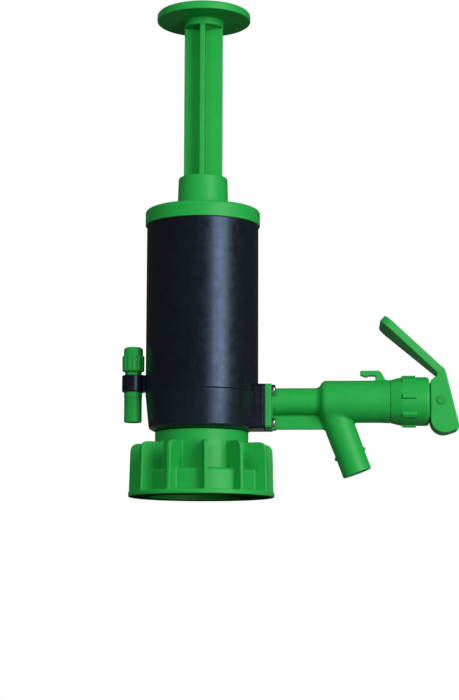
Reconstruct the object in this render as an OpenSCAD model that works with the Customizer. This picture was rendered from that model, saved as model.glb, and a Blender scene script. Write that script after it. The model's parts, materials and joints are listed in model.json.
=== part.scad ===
// Hand transfer pump: an air pump barrel on a screw-on neck nut, with a lever tap at its side.
// Sizes are in millimetres. The origin is on the pump's axis, in the open face of the neck nut.
// +Z runs up the plunger and +X along the tap.

/* [Neck nut] */
// Radius of the bore that takes the neck's thread
thread_r = 30.3; // [29:0.1:32]
// Depth of that bore
thread_depth = 7.8; // [6:0.1:12]
// Wall of the skirt round the thread
skirt_wall = 4.2; // [3:0.1:6]
// Wall above the skirt's inner shoulder
shoulder_t = 2.5; // [2:0.1:4]
// Rounding of the skirt's upper edge
skirt_round = 2; // [0.5:0.1:2.4]
// Wall of the nut's neck
nut_neck_wall = 2.8; // [2:0.1:4]
// Height of the nut
nut_h = 37.8; // [34:0.1:44]
// Reach of the flange past the skirt
nut_flange_reach = 7.8; // [5:0.1:10]
// Thickness of that flange
nut_flange_t = 2.6; // [1.5:0.1:4]
// Number of grip wings
wing_count = 12; // [8:1:16]
// Thickness of a wing
wing_t = 2.4; // [1.8:0.1:4]
// Height of the wings' top edge
wing_top = 30.8; // [24:0.1:33]
// Radius of a wing's outer top corner
wing_corner_r = 4.5; // [2:0.1:7]
// Angle of the first wing from the front
wing_phase = 7.7; // [0:0.1:30]

/* [Neck seal] */
// Thickness of the gasket
gasket_t = 2; // [1:0.1:3]
// Thickness of the flange above the gasket
neck_flange_t = 2.2; // [1.5:0.1:3]

/* [Base] */
// Outer radius of the spigot that the nut turns on
spigot_r = 24; // [22:0.1:26]
// Wall of the spigot
spigot_wall = 3; // [2:0.1:4]
// Height of the base from its underside to the seam
base_h = 22.5; // [21:0.1:30]
// How much narrower the base is at its foot than at the seam
base_taper = 2.15; // [0:0.05:4]
// Width of the bevel round the foot
base_bevel_w = 3; // [1:0.1:3.5]
// Height of that bevel
base_bevel_h = 1.6; // [0.8:0.1:3]
// Wall of the base
base_wall = 3; // [2.4:0.1:4]
// Height of the rim inside the barrel
rim_h = 8.4; // [7.6:0.1:12]
// Thickness of the pump chamber's floor
floor_t = 3; // [2.4:0.1:3.4]
// Radius of the suction column
column_r = 9; // [8.5:0.1:9.5]
// Length of the column above the spigot's lower end
column_rise = 18; // [12:0.1:20]
// Radius of the liquid passages
passage_r = 5; // [4:0.1:5.5]

/* [Barrel] */
// Outer radius of the barrel
barrel_r = 32.8; // [31:0.1:36]
// Wall of the barrel
barrel_wall = 2.8; // [2:0.1:3.4]
// Length of the barrel
barrel_len = 98.7; // [85:0.1:140]

/* [Top cap] */
// Height of the cap's flange
cap_h = 9.7; // [8:0.1:14]
// Overhang of the flange past the barrel
cap_overhang = 0.95; // [0.3:0.05:2]
// Rounding of the flange's upper edge
cap_round = 2; // [0.5:0.1:4]
// Depth of the plug inside the barrel
plug_h = 6; // [4:0.1:8]
// Height of the collar
collar_h = 19.4; // [14:0.1:26]
// Wall of the collar outside the guide bush
collar_wall = 1.3; // [1:0.1:2]
// How much wider the collar is at its root
collar_draft = 0.65; // [0:0.05:1.5]
// Height of the guide bush
bush_h = 12; // [8:0.1:13]
// Wall of the guide bush
bush_wall = 1.2; // [0.9:0.1:1.5]

/* [Plunger] */
// Half the width of the rod's cross section
rod_half = 11.4; // [10:0.1:13]
// Thickness of the rod's ribs
rib_t = 3; // [2:0.1:4]
// Length of rod that shows above the collar
rod_show = 91.6; // [85:0.1:130]
// Radius of the knob
knob_r = 27.85; // [22:0.05:34]
// Thickness of the knob
knob_t = 6; // [5:0.1:9]
// Height of the hub under the knob
hub_h = 4; // [2:0.1:8]
// Thickness of the piston's foot plate
foot_t = 3; // [2:0.1:4]
// Height of the piston cup below the foot plate
cup_h = 7.8; // [7:0.1:11]

/* [Outlet] */
// Height of the tap's axis above the base's underside
outlet_rise = 17.2; // [16.8:0.1:17.6]
// Reach of the outlet boss past the barrel
boss_reach = 3.6; // [3:0.1:6]
// Side of the square flange
flange_w = 26; // [25:0.1:27]
// How far the flange's centre lies below the tap's axis
flange_drop = 3.4; // [2.6:0.1:3.4]
// Thickness of the tap's flange
flange_t = 3.7; // [3:0.1:5]
// Corner radius of the flange
flange_corner_r = 2.5; // [1:0.1:3.5]
// Thickness of the flange gasket
flange_seal_t = 0.8; // [0.5:0.1:1.5]
// Distance between the flange screws
screw_pitch = 19; // [18.4:0.1:19.4]
// Radius of a screw's head
screw_head_r = 3; // [2.5:0.1:3.2]

/* [Tap] */
// Outer radius of the pipe
pipe_r = 8; // [7.5:0.05:9]
// Length of the pipe from the flange's back to the shoulder
pipe_len = 29.8; // [22:0.1:40]
// Length of the shoulder
shoulder_len = 5; // [3:0.1:8]
// Outer radius of the tap's body
body_r = 12.25; // [11.5:0.05:13.5]
// Length of the body
body_len = 37; // [34:0.1:46]
// Wall of the body's chamber
body_wall = 2.65; // [2.4:0.05:3]
// Thickness of the web under the pipe
web_t = 3; // [2:0.1:5]
// Outer radius of the spout
spout_r = 8.5; // [7.5:0.1:9]
// Wall of the spout
spout_wall = 2.2; // [1.6:0.1:2.6]
// Length of the spout from the tap's axis
spout_len = 44.3; // [34:0.1:60]
// Length of the spout's plain tip below its lugs
spout_tip_len = 11; // [8:0.1:14]
// Lean of the spout from upright
spout_lean = 20.4; // [12:0.1:28]
// Thickness of the hook on top of the body
hook_t = 6; // [4:0.1:9]

/* [Bonnet nut] */
// Radius of the bonnet nut
bonnet_r = 14.1; // [13.7:0.05:15]
// Length of the bonnet nut
bonnet_len = 22.2; // [20.5:0.1:26]
// Length of its cone
bonnet_cone = 6.5; // [4:0.1:8]
// Rounding of its end
bonnet_round = 2; // [0.5:0.1:2.5]
// Number of grip ribs
bonnet_ribs = 8; // [6:1:10]
// Height of a rib
bonnet_rib_h = 1.1; // [0.6:0.1:1.3]
// Length of a rib
bonnet_rib_len = 8; // [5:0.1:9]

/* [Lever] */
// Radius of the valve stem
stem_r = 3; // [2.6:0.1:3.2]
// Distance from the lever's pin to its heel
heel = 6; // [5.5:0.1:6.5]
// Lift of the stem for a radian of lever travel
cam_r = 9; // [8:0.1:9.4]
// Travel of the lever in degrees
lever_travel = 16; // [10:1:16]
// Width of the cheeks
cheek_w = 20; // [16:0.1:22]
// Width of the arm's free end
arm_tip_w = 38; // [24:0.1:44]
// Thickness of the arm
arm_t = 4.6; // [3:0.1:4.8]
// Length of the arm
arm_len = 45; // [38:0.1:60]
// Angle of the arm from level
arm_rise = 41.6; // [41:0.1:46]
// Radius of the lever's pin
pin_r = 1.5; // [1.2:0.1:1.6]

/* [Vent valve] */
// Distance from the barrel to the vent's axis
vent_reach = 7.5; // [6.9:0.1:10]
// Height of the clip ring
ring_h = 9.7; // [9.2:0.1:13]
// Outer radius of the clip ring
ring_r = 6.5; // [6.2:0.1:6.6]
// Radius of the tube below the ring
vent_tube_r = 5.15; // [4.8:0.05:5.5]
// Length of that tube
vent_tube_len = 17.7; // [12:0.1:24]
// Radius of the vent knob without its ribs
vent_knob_r = 5.6; // [5.3:0.1:6]
// Length of the vent knob
vent_knob_len = 15.1; // [13.5:0.1:20]
// Number of ribs on the vent knob
vent_ribs = 8; // [5:1:9]
// Length of those ribs
vent_rib_len = 9; // [5:0.1:11]
// Lift of the vent spindle over its travel
vent_lift = 1.5; // [0.8:0.1:1.8]

/* [Clearances] */
// Gap between pieces that move on each other
run_gap = 0.3; // [0.25:0.05:0.4]
// Gap round pieces that are fitted together
fit_gap = 0.1; // [0.05:0.05:0.15]

/* [Hidden] */
$fn = 96;

// Overrun of a cut past the face that it opens
over = 1;
// Overlap of pieces that are moulded in one
weld = 0.5;
// Steps in a drawn arc
arc_steps = 6;

green = [0.10, 0.60, 0.22];
black = [0.09, 0.10, 0.12];
rubber = [0.05, 0.05, 0.05];
steel = [0.72, 0.73, 0.75];
white_plastic = [0.86, 0.86, 0.83];

// Levels of the neck nut and its seal
nut_bore_r = spigot_r + run_gap;
nut_neck_r = nut_bore_r + nut_neck_wall;
skirt_r = thread_r + skirt_wall;
relief_r = thread_r + 0.5;
nut_flange_r = skirt_r + nut_flange_reach;
wing_foot_r = nut_flange_r - 0.3;
wing_tip_r = wing_foot_r - 0.8;
gasket_z = thread_depth + 0.2;
neck_flange_z = gasket_z + gasket_t;
spigot_z = neck_flange_z + neck_flange_t;
shoulder_z = spigot_z + run_gap;
skirt_top = shoulder_z + shoulder_t;
neck_flange_r = thread_r - 0.7;
spigot_end_r = spigot_r - 1.5;
spigot_in_r = spigot_r - spigot_wall;

// Levels and radii of the base
base_z = nut_h + run_gap;
seam_z = base_z + base_h;
floor_z = seam_z + rim_h;
ceiling_z = floor_z - floor_t;
bore_r = barrel_r - barrel_wall;
rim_r = bore_r - fit_gap;
base_top_r = barrel_r + 0.15;
base_foot_r = base_top_r - base_taper;
cavity_r = min(rim_r - base_wall, base_foot_r - base_wall);
column_z = neck_flange_z + column_rise;
seal_ring_r = 0.9;
seal_groove = 0.2;
port_r = 0.9;
port_z = (seam_z + ceiling_z) / 2 + 1.5;
low_seal_z = seam_z + 1.7;
high_seal_z = ceiling_z + floor_t / 2;
valve_x = -(column_r + cavity_r) / 2;
valve_stem_r = 1.5;
valve_cap_r = (cavity_r - column_r) / 2 - 1.6;
valve_hole_r = 1.1;
valve_holes = 6;
valve_ring_r = valve_cap_r * 0.62;

// The suction tail
tail_shank_r = passage_r + 1.2;
tail_shank_len = 8;
tail_collar_h = 2.5;
tail_bore_r = passage_r - 1.2;
tail_barbs = 3;
tail_barb_h = 3.6;

// Levels of the barrel, the cap and the plunger
barrel_top = seam_z + barrel_len;
cap_r = barrel_r + cap_overhang;
cap_top = barrel_top + cap_h;
collar_top = cap_top + collar_h;
plug_z = barrel_top - plug_h;
plug_in_r = rim_r - 3.4;
roof_z = cap_top - 4.6;
rod_clear_r = norm([rod_half, rib_t / 2]) + run_gap;
bush_r = rod_clear_r + bush_wall;
pocket_r = bush_r + fit_gap;
collar_tip_r = pocket_r + collar_wall;
collar_root_r = collar_tip_r + collar_draft;
collar_round = min(2.3, collar_wall);
bush_top = collar_top - 0.5;
rod_top = collar_top + rod_show;
hub_r = norm([rod_half, rib_t / 2]) + 0.3;
knob_z = rod_top + hub_h;
knob_round = 1.8;
rod_plug_r = 6;
rod_plug_h = hub_h + 2;
piston_r = bore_r - run_gap;
foot_top = plug_z - 1;
foot_z = foot_top - foot_t;
cup_base_t = 3;
cup_lip_t = 2.2;
washer_t = 2;
piston_washer_r = piston_r - cup_lip_t - 4.5;
screw_r = 1.7;
screw_boss_r = 4.5;
screw_depth = 14;
piston_head_r = 4;
piston_head_h = 2;
cup_z = foot_z - cup_h;

// The outlet's boss and the tap, along X
outlet_z = base_z + outlet_rise;
flange_z = outlet_z - flange_drop;
boss_x = barrel_r + boss_reach;
tap_x = boss_x + flange_seal_t;
shoulder_x = tap_x + pipe_len;
seat_x = shoulder_x + shoulder_len - 0.5;
body_x = shoulder_x + shoulder_len;
body_end = body_x + body_len;
lip_len = 2.7;
lip_h = 0.3;
chamber_r = body_r - body_wall;
neck_r = body_r - 1.25;
neck_len = 9.5;
neck_end = body_end + neck_len;
seat_h = 1.5;
seat_wall = 1.4;
spout_x = body_x + 2.6;
spout_root_r = spout_r + 0.2;
spout_bore_r = spout_r - spout_wall;
spout_turn = 180 - spout_lean;
lug_h = 0.7;
lug_w = 3.2;
lug_len = 1.8;
lug_at = spout_len - spout_tip_len - lug_len;
hook_gap = 2.6;
hook_bar = 3;
hook_set = 8.2;
hook_gap_z = outlet_z + body_r + hook_gap;
hook_top = hook_gap_z + hook_bar;
hook_foot_z = outlet_z + body_r - 2;
hook_x = body_end - hook_set;
hook_foot_len = 7;
hook_back = 3.8;
hook_back_r = 2.4;
hook_reach = 8.8;
hook_beak_x = 3.6;
hook_beak_len = 1.2;
hook_beak_drop = 0.8;
hook_tip_rise = 0.5;
hook_bevel = 0.4;
flange_screw_r = 1.5;
screw_head_h = 2.4;
screw_tip_x = barrel_r + 1;

// The valve inside the tap, and the bonnet nut
washer_x = seat_x + seat_h + 0.1;
valve_washer_t = 2.5;
valve_washer_r = passage_r + 2.5;
foot_x = washer_x + valve_washer_t;
stem_foot_r = chamber_r - 1.4;
stem_foot_t = 2;
gland_x = body_end + 1;
gland_flange_t = 2;
groove_set = 5;
groove_x = neck_end - groove_set;
gland_flange_r = neck_r - 0.3;
stem_bore_r = stem_r + run_gap;
stem_ring_r = 0.75;
spring_wire_r = 0.6;
spring_r = chamber_r - spring_wire_r - 1.1;
spring_turns = 7;
bonnet_x = body_end + 0.4;
bonnet_end = bonnet_x + bonnet_len;
bonnet_mouth_r = body_r + 0.25;
bonnet_wall_x = bonnet_end - 3.6;
bonnet_rib_w = 2.7;
bonnet_rib_phase = -97;

// The lever
pin_x = bonnet_end + 0.4 + heel;
stem_end = pin_x + 3.5;
stem_half = 2.4;
flats_x = pin_x - heel - 1.5;
fork_half = stem_half + run_gap;
cheek_drop = 19;
cheek_corner_r = 8;
cheek_toe = [7.8, -14.8];
cheek_toe_r = 2.5;
sole_lean = 19;
back_lean = 13;
cheek_back = 2.6;
arm_root = [0.3, 16.6];
arm_lap = 1.1;
cheek_top = arm_root[1] + 1.3;
cheek_bevel = 0.6;
cheek_brow = arm_root - [3.3, 3];
fork_top = heel * tan(lever_travel) + stem_r / cos(lever_travel) + run_gap;
fork_depth = stem_end - pin_x + 1;
pin_head_r = 2.6;
pin_head_t = 0.8;

// The vent valve
vent_x = -(barrel_r + vent_reach);
ring_z = seam_z + 0.7;
ring_top = ring_z + ring_h;
arm_w = 7;
shank_r = 4.2;
ring_bore_r = shank_r + fit_gap;
vent_thread_r = 3.4;
vent_nut_r = 5;
vent_nut_t = 1.6;
vent_seat_z = ring_z + 0.7;
vent_chamber_r = 2.3;
exhaust_r = 1.4;
tube_bore_r = vent_tube_r - 1.7;
vent_ring_r = 0.55;
vent_ring_levels = [port_z - port_r - vent_ring_r - 0.5, ring_top - 2];
vent_cuff_len = 3;
vent_cuff_h = 0.15;
vent_knob_z = ring_top + vent_nut_t + run_gap;
vent_shank_len = 6;
vent_shank_top = vent_knob_z + vent_shank_len;
vent_knob_top = vent_knob_z + vent_knob_len;
vent_cup_r = vent_thread_r + run_gap;
vent_roof_z = vent_shank_top + 1;
spindle_r = 1.2;
spindle_top = vent_knob_top - 2.5;
vent_seal_r = vent_chamber_r - 0.25;
vent_seal_t = 1.2;
vent_rib_h = 0.7;
vent_rib_w = 1.6;

// Points of an arc about c, from one angle to another
function arc(c, r, from, to, steps = arc_steps) =
    [for (i = [0:steps]) let (a = from + (to - from) * i / steps) c + r * [cos(a), sin(a)]];

// Outline of a square with round corners
function round_square(w, r) =
    let (h = w / 2 - r)
    concat(arc([h, h], r, 0, 90), arc([-h, h], r, 90, 180),
           arc([-h, -h], r, 180, 270), arc([h, -h], r, 270, 360));

// Stations of a smooth step between two radii along an axis
function smooth_step(r1, x1, r2, x2, steps = 10) =
    [for (i = [0:steps])
     let (t = i / steps)
     [r1 + (r2 - r1) * (1 - cos(180 * t)) / 2, x1 + (x2 - x1) * t]];

// Heel of the lever about its pin: an involute, so the stem's lift follows the angle
function heel_point(a) =
    let (reach = heel + cam_r * a * PI / 180)
    [-reach * cos(a) + cam_r * sin(a), reach * sin(a) + cam_r * cos(a)];

// Puts a shape made along Z on the tap's axis, starting at x
module on_tap(x = 0) {
    translate([x, 0, outlet_z])
        rotate([0, 90, 0])
            children();
}

// Puts a flat shape in the upright plane through the tap's axis and makes it w wide
module across(w) {
    rotate([90, 0, 0])
        linear_extrude(w, center = true)
            children();
}

module ring(r_out, r_in, h) {
    difference() {
        cylinder(r = r_out, h = h);
        translate([0, 0, -over])
            cylinder(r = r_in, h = h + 2 * over);
    }
}

module torus(r, wire_r) {
    rotate_extrude()
        translate([r, 0])
            circle(wire_r);
}

// Places children at the four corners of the flange's screw pattern
module at_flange_screws() {
    for (y = [-1, 1], z = [-1, 1])
        translate([0, y * screw_pitch / 2, flange_z + z * screw_pitch / 2])
            rotate([0, 90, 0])
                children();
}

module flange_plate(x, t, w = flange_w) {
    translate([x, 0, flange_z])
        rotate([0, 90, 0])
            linear_extrude(t)
                polygon(round_square(w, flange_corner_r));
}

// A round wire wound along Z, with square-cut ends
module coil(r, wire_r, len, turns, sides = 6, rings_per_turn = 12) {
    rings = turns * rings_per_turn;
    function point(i, j) =
        let (a = 360 * i / rings_per_turn, b = 360 * j / sides, q = r + wire_r * cos(b))
        [q * cos(a), q * sin(a), len * i / rings + wire_r * sin(b)];
    points = [for (i = [0:rings], j = [0:sides - 1]) point(i, j)];
    walls = [for (i = [0:rings - 1], j = [0:sides - 1])
             let (a = i * sides + j, b = i * sides + (j + 1) % sides)
             each [[a, a + sides, b + sides], [a, b + sides, b]]];
    ends = [for (j = [1:sides - 2])
            each [[0, j, j + 1], [rings * sides, rings * sides + j + 1, rings * sides + j]]];
    polyhedron(points, concat(walls, ends));
}

module wing() {
    corner = [wing_tip_r - wing_corner_r, wing_top - wing_corner_r];
    across(wing_t)
        polygon(concat([[nut_neck_r - weld, 0], [wing_foot_r, 0]],
                       arc(corner, wing_corner_r, 0, 90),
                       [[nut_neck_r - weld, wing_top]]));
}

module winged_nut() {
    skirt_corner = [skirt_r - skirt_round, skirt_top - skirt_round];
    color(green)
        difference() {
            union() {
                rotate_extrude()
                    polygon(concat([[0, 0], [nut_flange_r, 0], [nut_flange_r, nut_flange_t],
                                    [skirt_r, nut_flange_t]],
                                   arc(skirt_corner, skirt_round, 0, 90),
                                   [[nut_neck_r, skirt_top], [nut_neck_r, nut_h], [0, nut_h]]));
                for (i = [0:wing_count - 1])
                    rotate(wing_phase - 90 + i * 360 / wing_count)
                        wing();
            }
            translate([0, 0, -over])
                cylinder(r = thread_r, h = thread_depth + over);
            translate([0, 0, thread_depth])
                cylinder(r = relief_r, h = shoulder_z - thread_depth);
            cylinder(r = nut_bore_r, h = nut_h + over);
        }
}

module neck_flange() {
    color(black)
        translate([0, 0, neck_flange_z])
            ring(neck_flange_r, spigot_end_r + fit_gap, neck_flange_t);
}

module neck_gasket() {
    color(rubber)
        translate([0, 0, gasket_z])
            ring(neck_flange_r, spigot_end_r, gasket_t);
}

module suction_tail() {
    barb_z = column_z - tail_collar_h - tail_barbs * tail_barb_h;
    color(black)
        difference() {
            union() {
                translate([0, 0, column_z - weld])
                    cylinder(r = tail_shank_r, h = tail_shank_len + weld);
                translate([0, 0, column_z - tail_collar_h])
                    cylinder(r = column_r, h = tail_collar_h, $fn = 6);
                for (i = [0:tail_barbs - 1])
                    translate([0, 0, barb_z + i * tail_barb_h])
                        cylinder(r1 = tail_shank_r - 1, r2 = tail_shank_r, h = tail_barb_h);
            }
            translate([0, 0, barb_z - over])
                cylinder(r = tail_bore_r, h = column_z + tail_shank_len - barb_z + 2 * over);
        }
}

// Outside of the base: tapered shell, rim inside the barrel, spigot and outlet boss
module base_outside() {
    rotate_extrude()
        polygon([[0, base_z], [base_foot_r - base_bevel_w, base_z], [base_foot_r, base_z + base_bevel_h],
                 [base_top_r, seam_z], [rim_r, seam_z], [rim_r, floor_z], [0, floor_z]]);
    translate([0, 0, spigot_z])
        cylinder(r = spigot_r, h = base_z - spigot_z + weld);
    translate([0, 0, neck_flange_z])
        cylinder(r = spigot_end_r, h = neck_flange_t + weld);
    difference() {
        flange_plate(0, boss_x);
        translate([0, 0, seam_z])
            cylinder(r = barrel_r + run_gap, h = flange_w);
        translate([0, 0, base_z - over])
            cylinder(r = cavity_r, h = base_h + 2 * over);
    }
}

// Hollow under the floor, less the suction column and its elbow
module base_cavity() {
    difference() {
        rotate_extrude()
            polygon([[0, neck_flange_z - over], [spigot_in_r, neck_flange_z - over],
                     [spigot_in_r, base_z + base_wall], [cavity_r, base_z + base_wall + 2],
                     [cavity_r, ceiling_z], [0, ceiling_z]]);
        translate([0, 0, column_z])
            cylinder(r = column_r, h = floor_z - column_z);
        on_tap()
            cylinder(r = passage_r + base_wall, h = boss_x);
    }
}

module pump_base() {
    color(black)
        difference() {
            base_outside();
            base_cavity();
            translate([0, 0, column_z - over])
                cylinder(r = passage_r, h = outlet_z - column_z + over);
            translate([0, 0, column_z - over])
                cylinder(r = tail_shank_r + fit_gap, h = tail_shank_len + fit_gap + over);
            translate([0, 0, outlet_z])
                sphere(r = passage_r);
            on_tap()
                cylinder(r = passage_r, h = boss_x + over);
            at_flange_screws()
                translate([0, 0, screw_tip_x - fit_gap])
                    cylinder(r = flange_screw_r + fit_gap, h = boss_x);
            for (z = [low_seal_z, high_seal_z])
                translate([0, 0, z - seal_ring_r - seal_groove])
                    ring(rim_r + over, rim_r - 2 * seal_ring_r, 2 * (seal_ring_r + seal_groove));
            translate([-rim_r - over, 0, port_z])
                rotate([0, 90, 0])
                    cylinder(r = port_r, h = rim_r - cavity_r + 2 * over);
            translate([valve_x, 0, ceiling_z - over]) {
                cylinder(r = valve_stem_r + fit_gap, h = floor_t + 2 * over);
                for (i = [0:valve_holes - 1])
                    rotate((i + 0.5) * 360 / valve_holes)
                        translate([valve_ring_r, 0, 0])
                            cylinder(r = valve_hole_r, h = floor_t + 2 * over);
            }
            translate([valve_x, 0, floor_z - valve_stem_r])
                cylinder(r = valve_stem_r + 1, h = valve_stem_r + over);
        }
}

module air_valve() {
    dome_h = 1.8;
    bulb = valve_stem_r + 0.7;
    color(rubber)
        translate([valve_x, 0, ceiling_z])
            rotate_extrude()
                polygon([[0, -dome_h], [valve_cap_r * 0.5, -dome_h], [valve_cap_r, -0.7],
                         [valve_cap_r, 0], [valve_stem_r, 0], [valve_stem_r, floor_t - valve_stem_r],
                         [bulb, floor_t - valve_stem_r], [valve_stem_r, floor_t - 0.1],
                         [0, floor_t - 0.1]]);
}

module barrel_o_rings() {
    color(rubber)
        for (z = [low_seal_z, high_seal_z])
            translate([0, 0, z])
                torus(rim_r - seal_ring_r, seal_ring_r);
}

module barrel_tube() {
    color(black)
        difference() {
            union() {
                translate([0, 0, seam_z])
                    cylinder(r = barrel_r, h = barrel_len);
                translate([vent_x, 0, ring_z])
                    cylinder(r = ring_r, h = ring_h);
                translate([vent_x, -arm_w / 2, ring_z])
                    cube([-vent_x - bore_r, arm_w, ring_h]);
            }
            translate([0, 0, seam_z - over])
                cylinder(r = bore_r, h = barrel_len + 2 * over);
            translate([vent_x, 0, ring_z - over])
                cylinder(r = ring_bore_r, h = ring_h + 2 * over);
            translate([vent_x, 0, port_z])
                rotate([0, 90, 0])
                    cylinder(r = port_r, h = -vent_x - bore_r + over);
        }
}

module top_cap() {
    bush_z = bush_top - bush_h;
    collar_edge = [collar_tip_r - collar_round, collar_top - collar_round];
    color(green)
        rotate_extrude()
            polygon(concat([[plug_in_r, plug_z], [rim_r, plug_z], [rim_r, barrel_top],
                            [cap_r, barrel_top]],
                           arc([cap_r - cap_round, cap_top - cap_round], cap_round, 0, 90),
                           [[collar_root_r, cap_top]],
                           arc(collar_edge, collar_round, 0, 90),
                           [[pocket_r, collar_top], [pocket_r, bush_z], [rod_clear_r, bush_z],
                            [rod_clear_r, roof_z], [plug_in_r, roof_z]]));
}

module guide_bush() {
    color(black)
        translate([0, 0, bush_top - bush_h])
            ring(bush_r, rod_clear_r, bush_h);
}

module plunger_rod() {
    rod_h = rod_top - foot_top;
    color(green)
        difference() {
            union() {
                translate([-rod_half, -rib_t / 2, foot_top - weld])
                    cube([2 * rod_half, rib_t, rod_h + weld]);
                translate([-rib_t / 2, -rod_half, foot_top - weld])
                    cube([rib_t, 2 * rod_half, rod_h + weld]);
                translate([0, 0, foot_z])
                    cylinder(r = piston_washer_r, h = foot_t);
                translate([0, 0, foot_z])
                    cylinder(r = screw_boss_r, h = screw_depth + foot_t);
                translate([0, 0, rod_top - weld])
                    cylinder(r = rod_plug_r, h = rod_plug_h + weld);
            }
            translate([0, 0, foot_z - over])
                cylinder(r = screw_r + fit_gap, h = screw_depth + over);
        }
}

module plunger_knob() {
    edge_x = knob_r - knob_round;
    color(green)
        difference() {
            rotate_extrude()
                polygon(concat([[0, rod_top], [hub_r, rod_top], [hub_r, knob_z]],
                               arc([edge_x, knob_z + knob_round], knob_round, -90, 0),
                               arc([edge_x, knob_z + knob_t - knob_round], knob_round, 0, 90),
                               [[0, knob_z + knob_t]]));
            translate([0, 0, rod_top - over])
                cylinder(r = rod_plug_r + fit_gap, h = rod_plug_h + fit_gap + over);
        }
}

module piston_cup() {
    color(rubber)
        rotate_extrude()
            polygon([[screw_r + fit_gap, foot_z], [piston_r - 1, foot_z],
                     [piston_r - 0.6, foot_z - cup_base_t], [piston_r, cup_z],
                     [piston_r - cup_lip_t / 2, cup_z], [piston_r - 0.6 - cup_lip_t, foot_z - cup_base_t],
                     [screw_r + fit_gap, foot_z - cup_base_t]]);
}

module piston_washer() {
    color(steel)
        translate([0, 0, foot_z - cup_base_t - washer_t])
            ring(piston_washer_r, screw_r + fit_gap, washer_t);
}

module piston_screw() {
    head_z = foot_z - cup_base_t - washer_t;
    tip_z = foot_z + screw_depth - 1;
    color(steel)
        rotate_extrude()
            polygon([[0, head_z - piston_head_h], [piston_head_r - 1, head_z - piston_head_h],
                     [piston_head_r, head_z - piston_head_h + 1], [piston_head_r, head_z],
                     [screw_r, head_z], [screw_r, tip_z - screw_r], [0, tip_z]]);
}

module flange_gasket() {
    color(rubber)
        difference() {
            flange_plate(boss_x, flange_seal_t);
            on_tap(boss_x - over)
                cylinder(r = passage_r, h = flange_seal_t + 2 * over);
            at_flange_screws()
                translate([0, 0, boss_x - over])
                    cylinder(r = flange_screw_r + fit_gap, h = flange_seal_t + 2 * over);
        }
}

module flange_screws() {
    head_x = tap_x + flange_t;
    color(steel)
        at_flange_screws()
            rotate_extrude()
                polygon(concat([[0, screw_tip_x], [flange_screw_r, screw_tip_x + flange_screw_r],
                                [flange_screw_r, head_x], [screw_head_r, head_x]],
                               arc([screw_head_r - 1, head_x + screw_head_h - 1], 1, 0, 90),
                               [[0, head_x + screw_head_h]]));
}

// Pipe, shoulder, body and bonnet thread as one turned outline
module tap_barrel() {
    on_tap()
        rotate_extrude()
            polygon(concat([[0, tap_x], [pipe_r, tap_x]],
                           smooth_step(pipe_r, shoulder_x, body_r, body_x),
                           [[body_r, body_end - lip_len], [body_r + lip_h, body_end - lip_len],
                            [body_r + lip_h, body_end], [neck_r, body_end], [neck_r, neck_end],
                            [0, neck_end]]));
}

module along_spout(from) {
    translate([spout_x, 0, outlet_z])
        rotate([0, spout_turn, 0])
            translate([0, 0, from])
                children();
}

// Hook on top of the body, open towards the barrel
module hook() {
    tip_x = hook_x - hook_reach;
    beak_x = tip_x + hook_beak_x;
    back = [hook_x + hook_back - hook_back_r, hook_top - hook_back_r];
    across(hook_t)
        polygon(concat([[hook_x + hook_foot_len, hook_foot_z]],
                       arc(back, hook_back_r, 20, 90),
                       [[tip_x + hook_bevel, hook_top], [tip_x, hook_top - hook_bevel],
                        [tip_x, hook_gap_z + hook_tip_rise], [beak_x, hook_gap_z - hook_beak_drop],
                        [beak_x + hook_beak_len, hook_gap_z], [hook_x, hook_gap_z],
                        [hook_x, hook_foot_z]]));
}

module tap_body() {
    color(green)
        difference() {
            union() {
                flange_plate(tap_x, flange_t);
                tap_barrel();
                translate([tap_x + weld, -web_t / 2, flange_z - flange_w / 2 + 0.3])
                    cube([spout_x - tap_x - weld, web_t, flange_w / 2 + flange_drop]);
                along_spout(0)
                    cylinder(r = spout_root_r, h = lug_at + lug_len);
                along_spout(lug_at)
                    translate([-spout_root_r - lug_h, -lug_w / 2, 0])
                        cube([2 * (spout_root_r + lug_h), lug_w, lug_len]);
                along_spout(lug_at)
                    cylinder(r = spout_r, h = spout_len - lug_at);
                hook();
            }
            on_tap(tap_x - over)
                cylinder(r = passage_r, h = seat_x - tap_x + 2 * over);
            difference() {
                on_tap(seat_x)
                    cylinder(r = chamber_r, h = neck_end - seat_x + over);
                on_tap(seat_x - over)
                    ring(passage_r + seat_wall, passage_r, seat_h + over);
            }
            along_spout(chamber_r - 1.5)
                cylinder(r = spout_bore_r, h = spout_len);
            at_flange_screws()
                translate([0, 0, tap_x - over])
                    cylinder(r = flange_screw_r + fit_gap, h = flange_t + 2 * over);
        }
}

module stem_gland() {
    color(black)
        difference() {
            union() {
                on_tap(gland_x)
                    cylinder(r = chamber_r - fit_gap, h = neck_end - gland_x);
                on_tap(neck_end)
                    cylinder(r = gland_flange_r, h = gland_flange_t);
            }
            on_tap(gland_x - over)
                cylinder(r = stem_bore_r, h = bonnet_len);
            on_tap(groove_x - stem_ring_r - seal_groove)
                cylinder(r = stem_bore_r + 2 * stem_ring_r, h = 2 * (stem_ring_r + seal_groove));
        }
}

module stem_o_ring() {
    color(rubber)
        on_tap(groove_x)
            torus(stem_bore_r + stem_ring_r, stem_ring_r);
}

module stem_spring() {
    spring_x = foot_x + stem_foot_t + spring_wire_r + fit_gap;
    color(steel)
        on_tap(spring_x)
            coil(spring_r, spring_wire_r, gland_x - spring_x - spring_wire_r - fit_gap, spring_turns);
}

module valve_washer() {
    color(rubber)
        on_tap(washer_x)
            cylinder(r = valve_washer_r, h = valve_washer_t);
}

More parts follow.
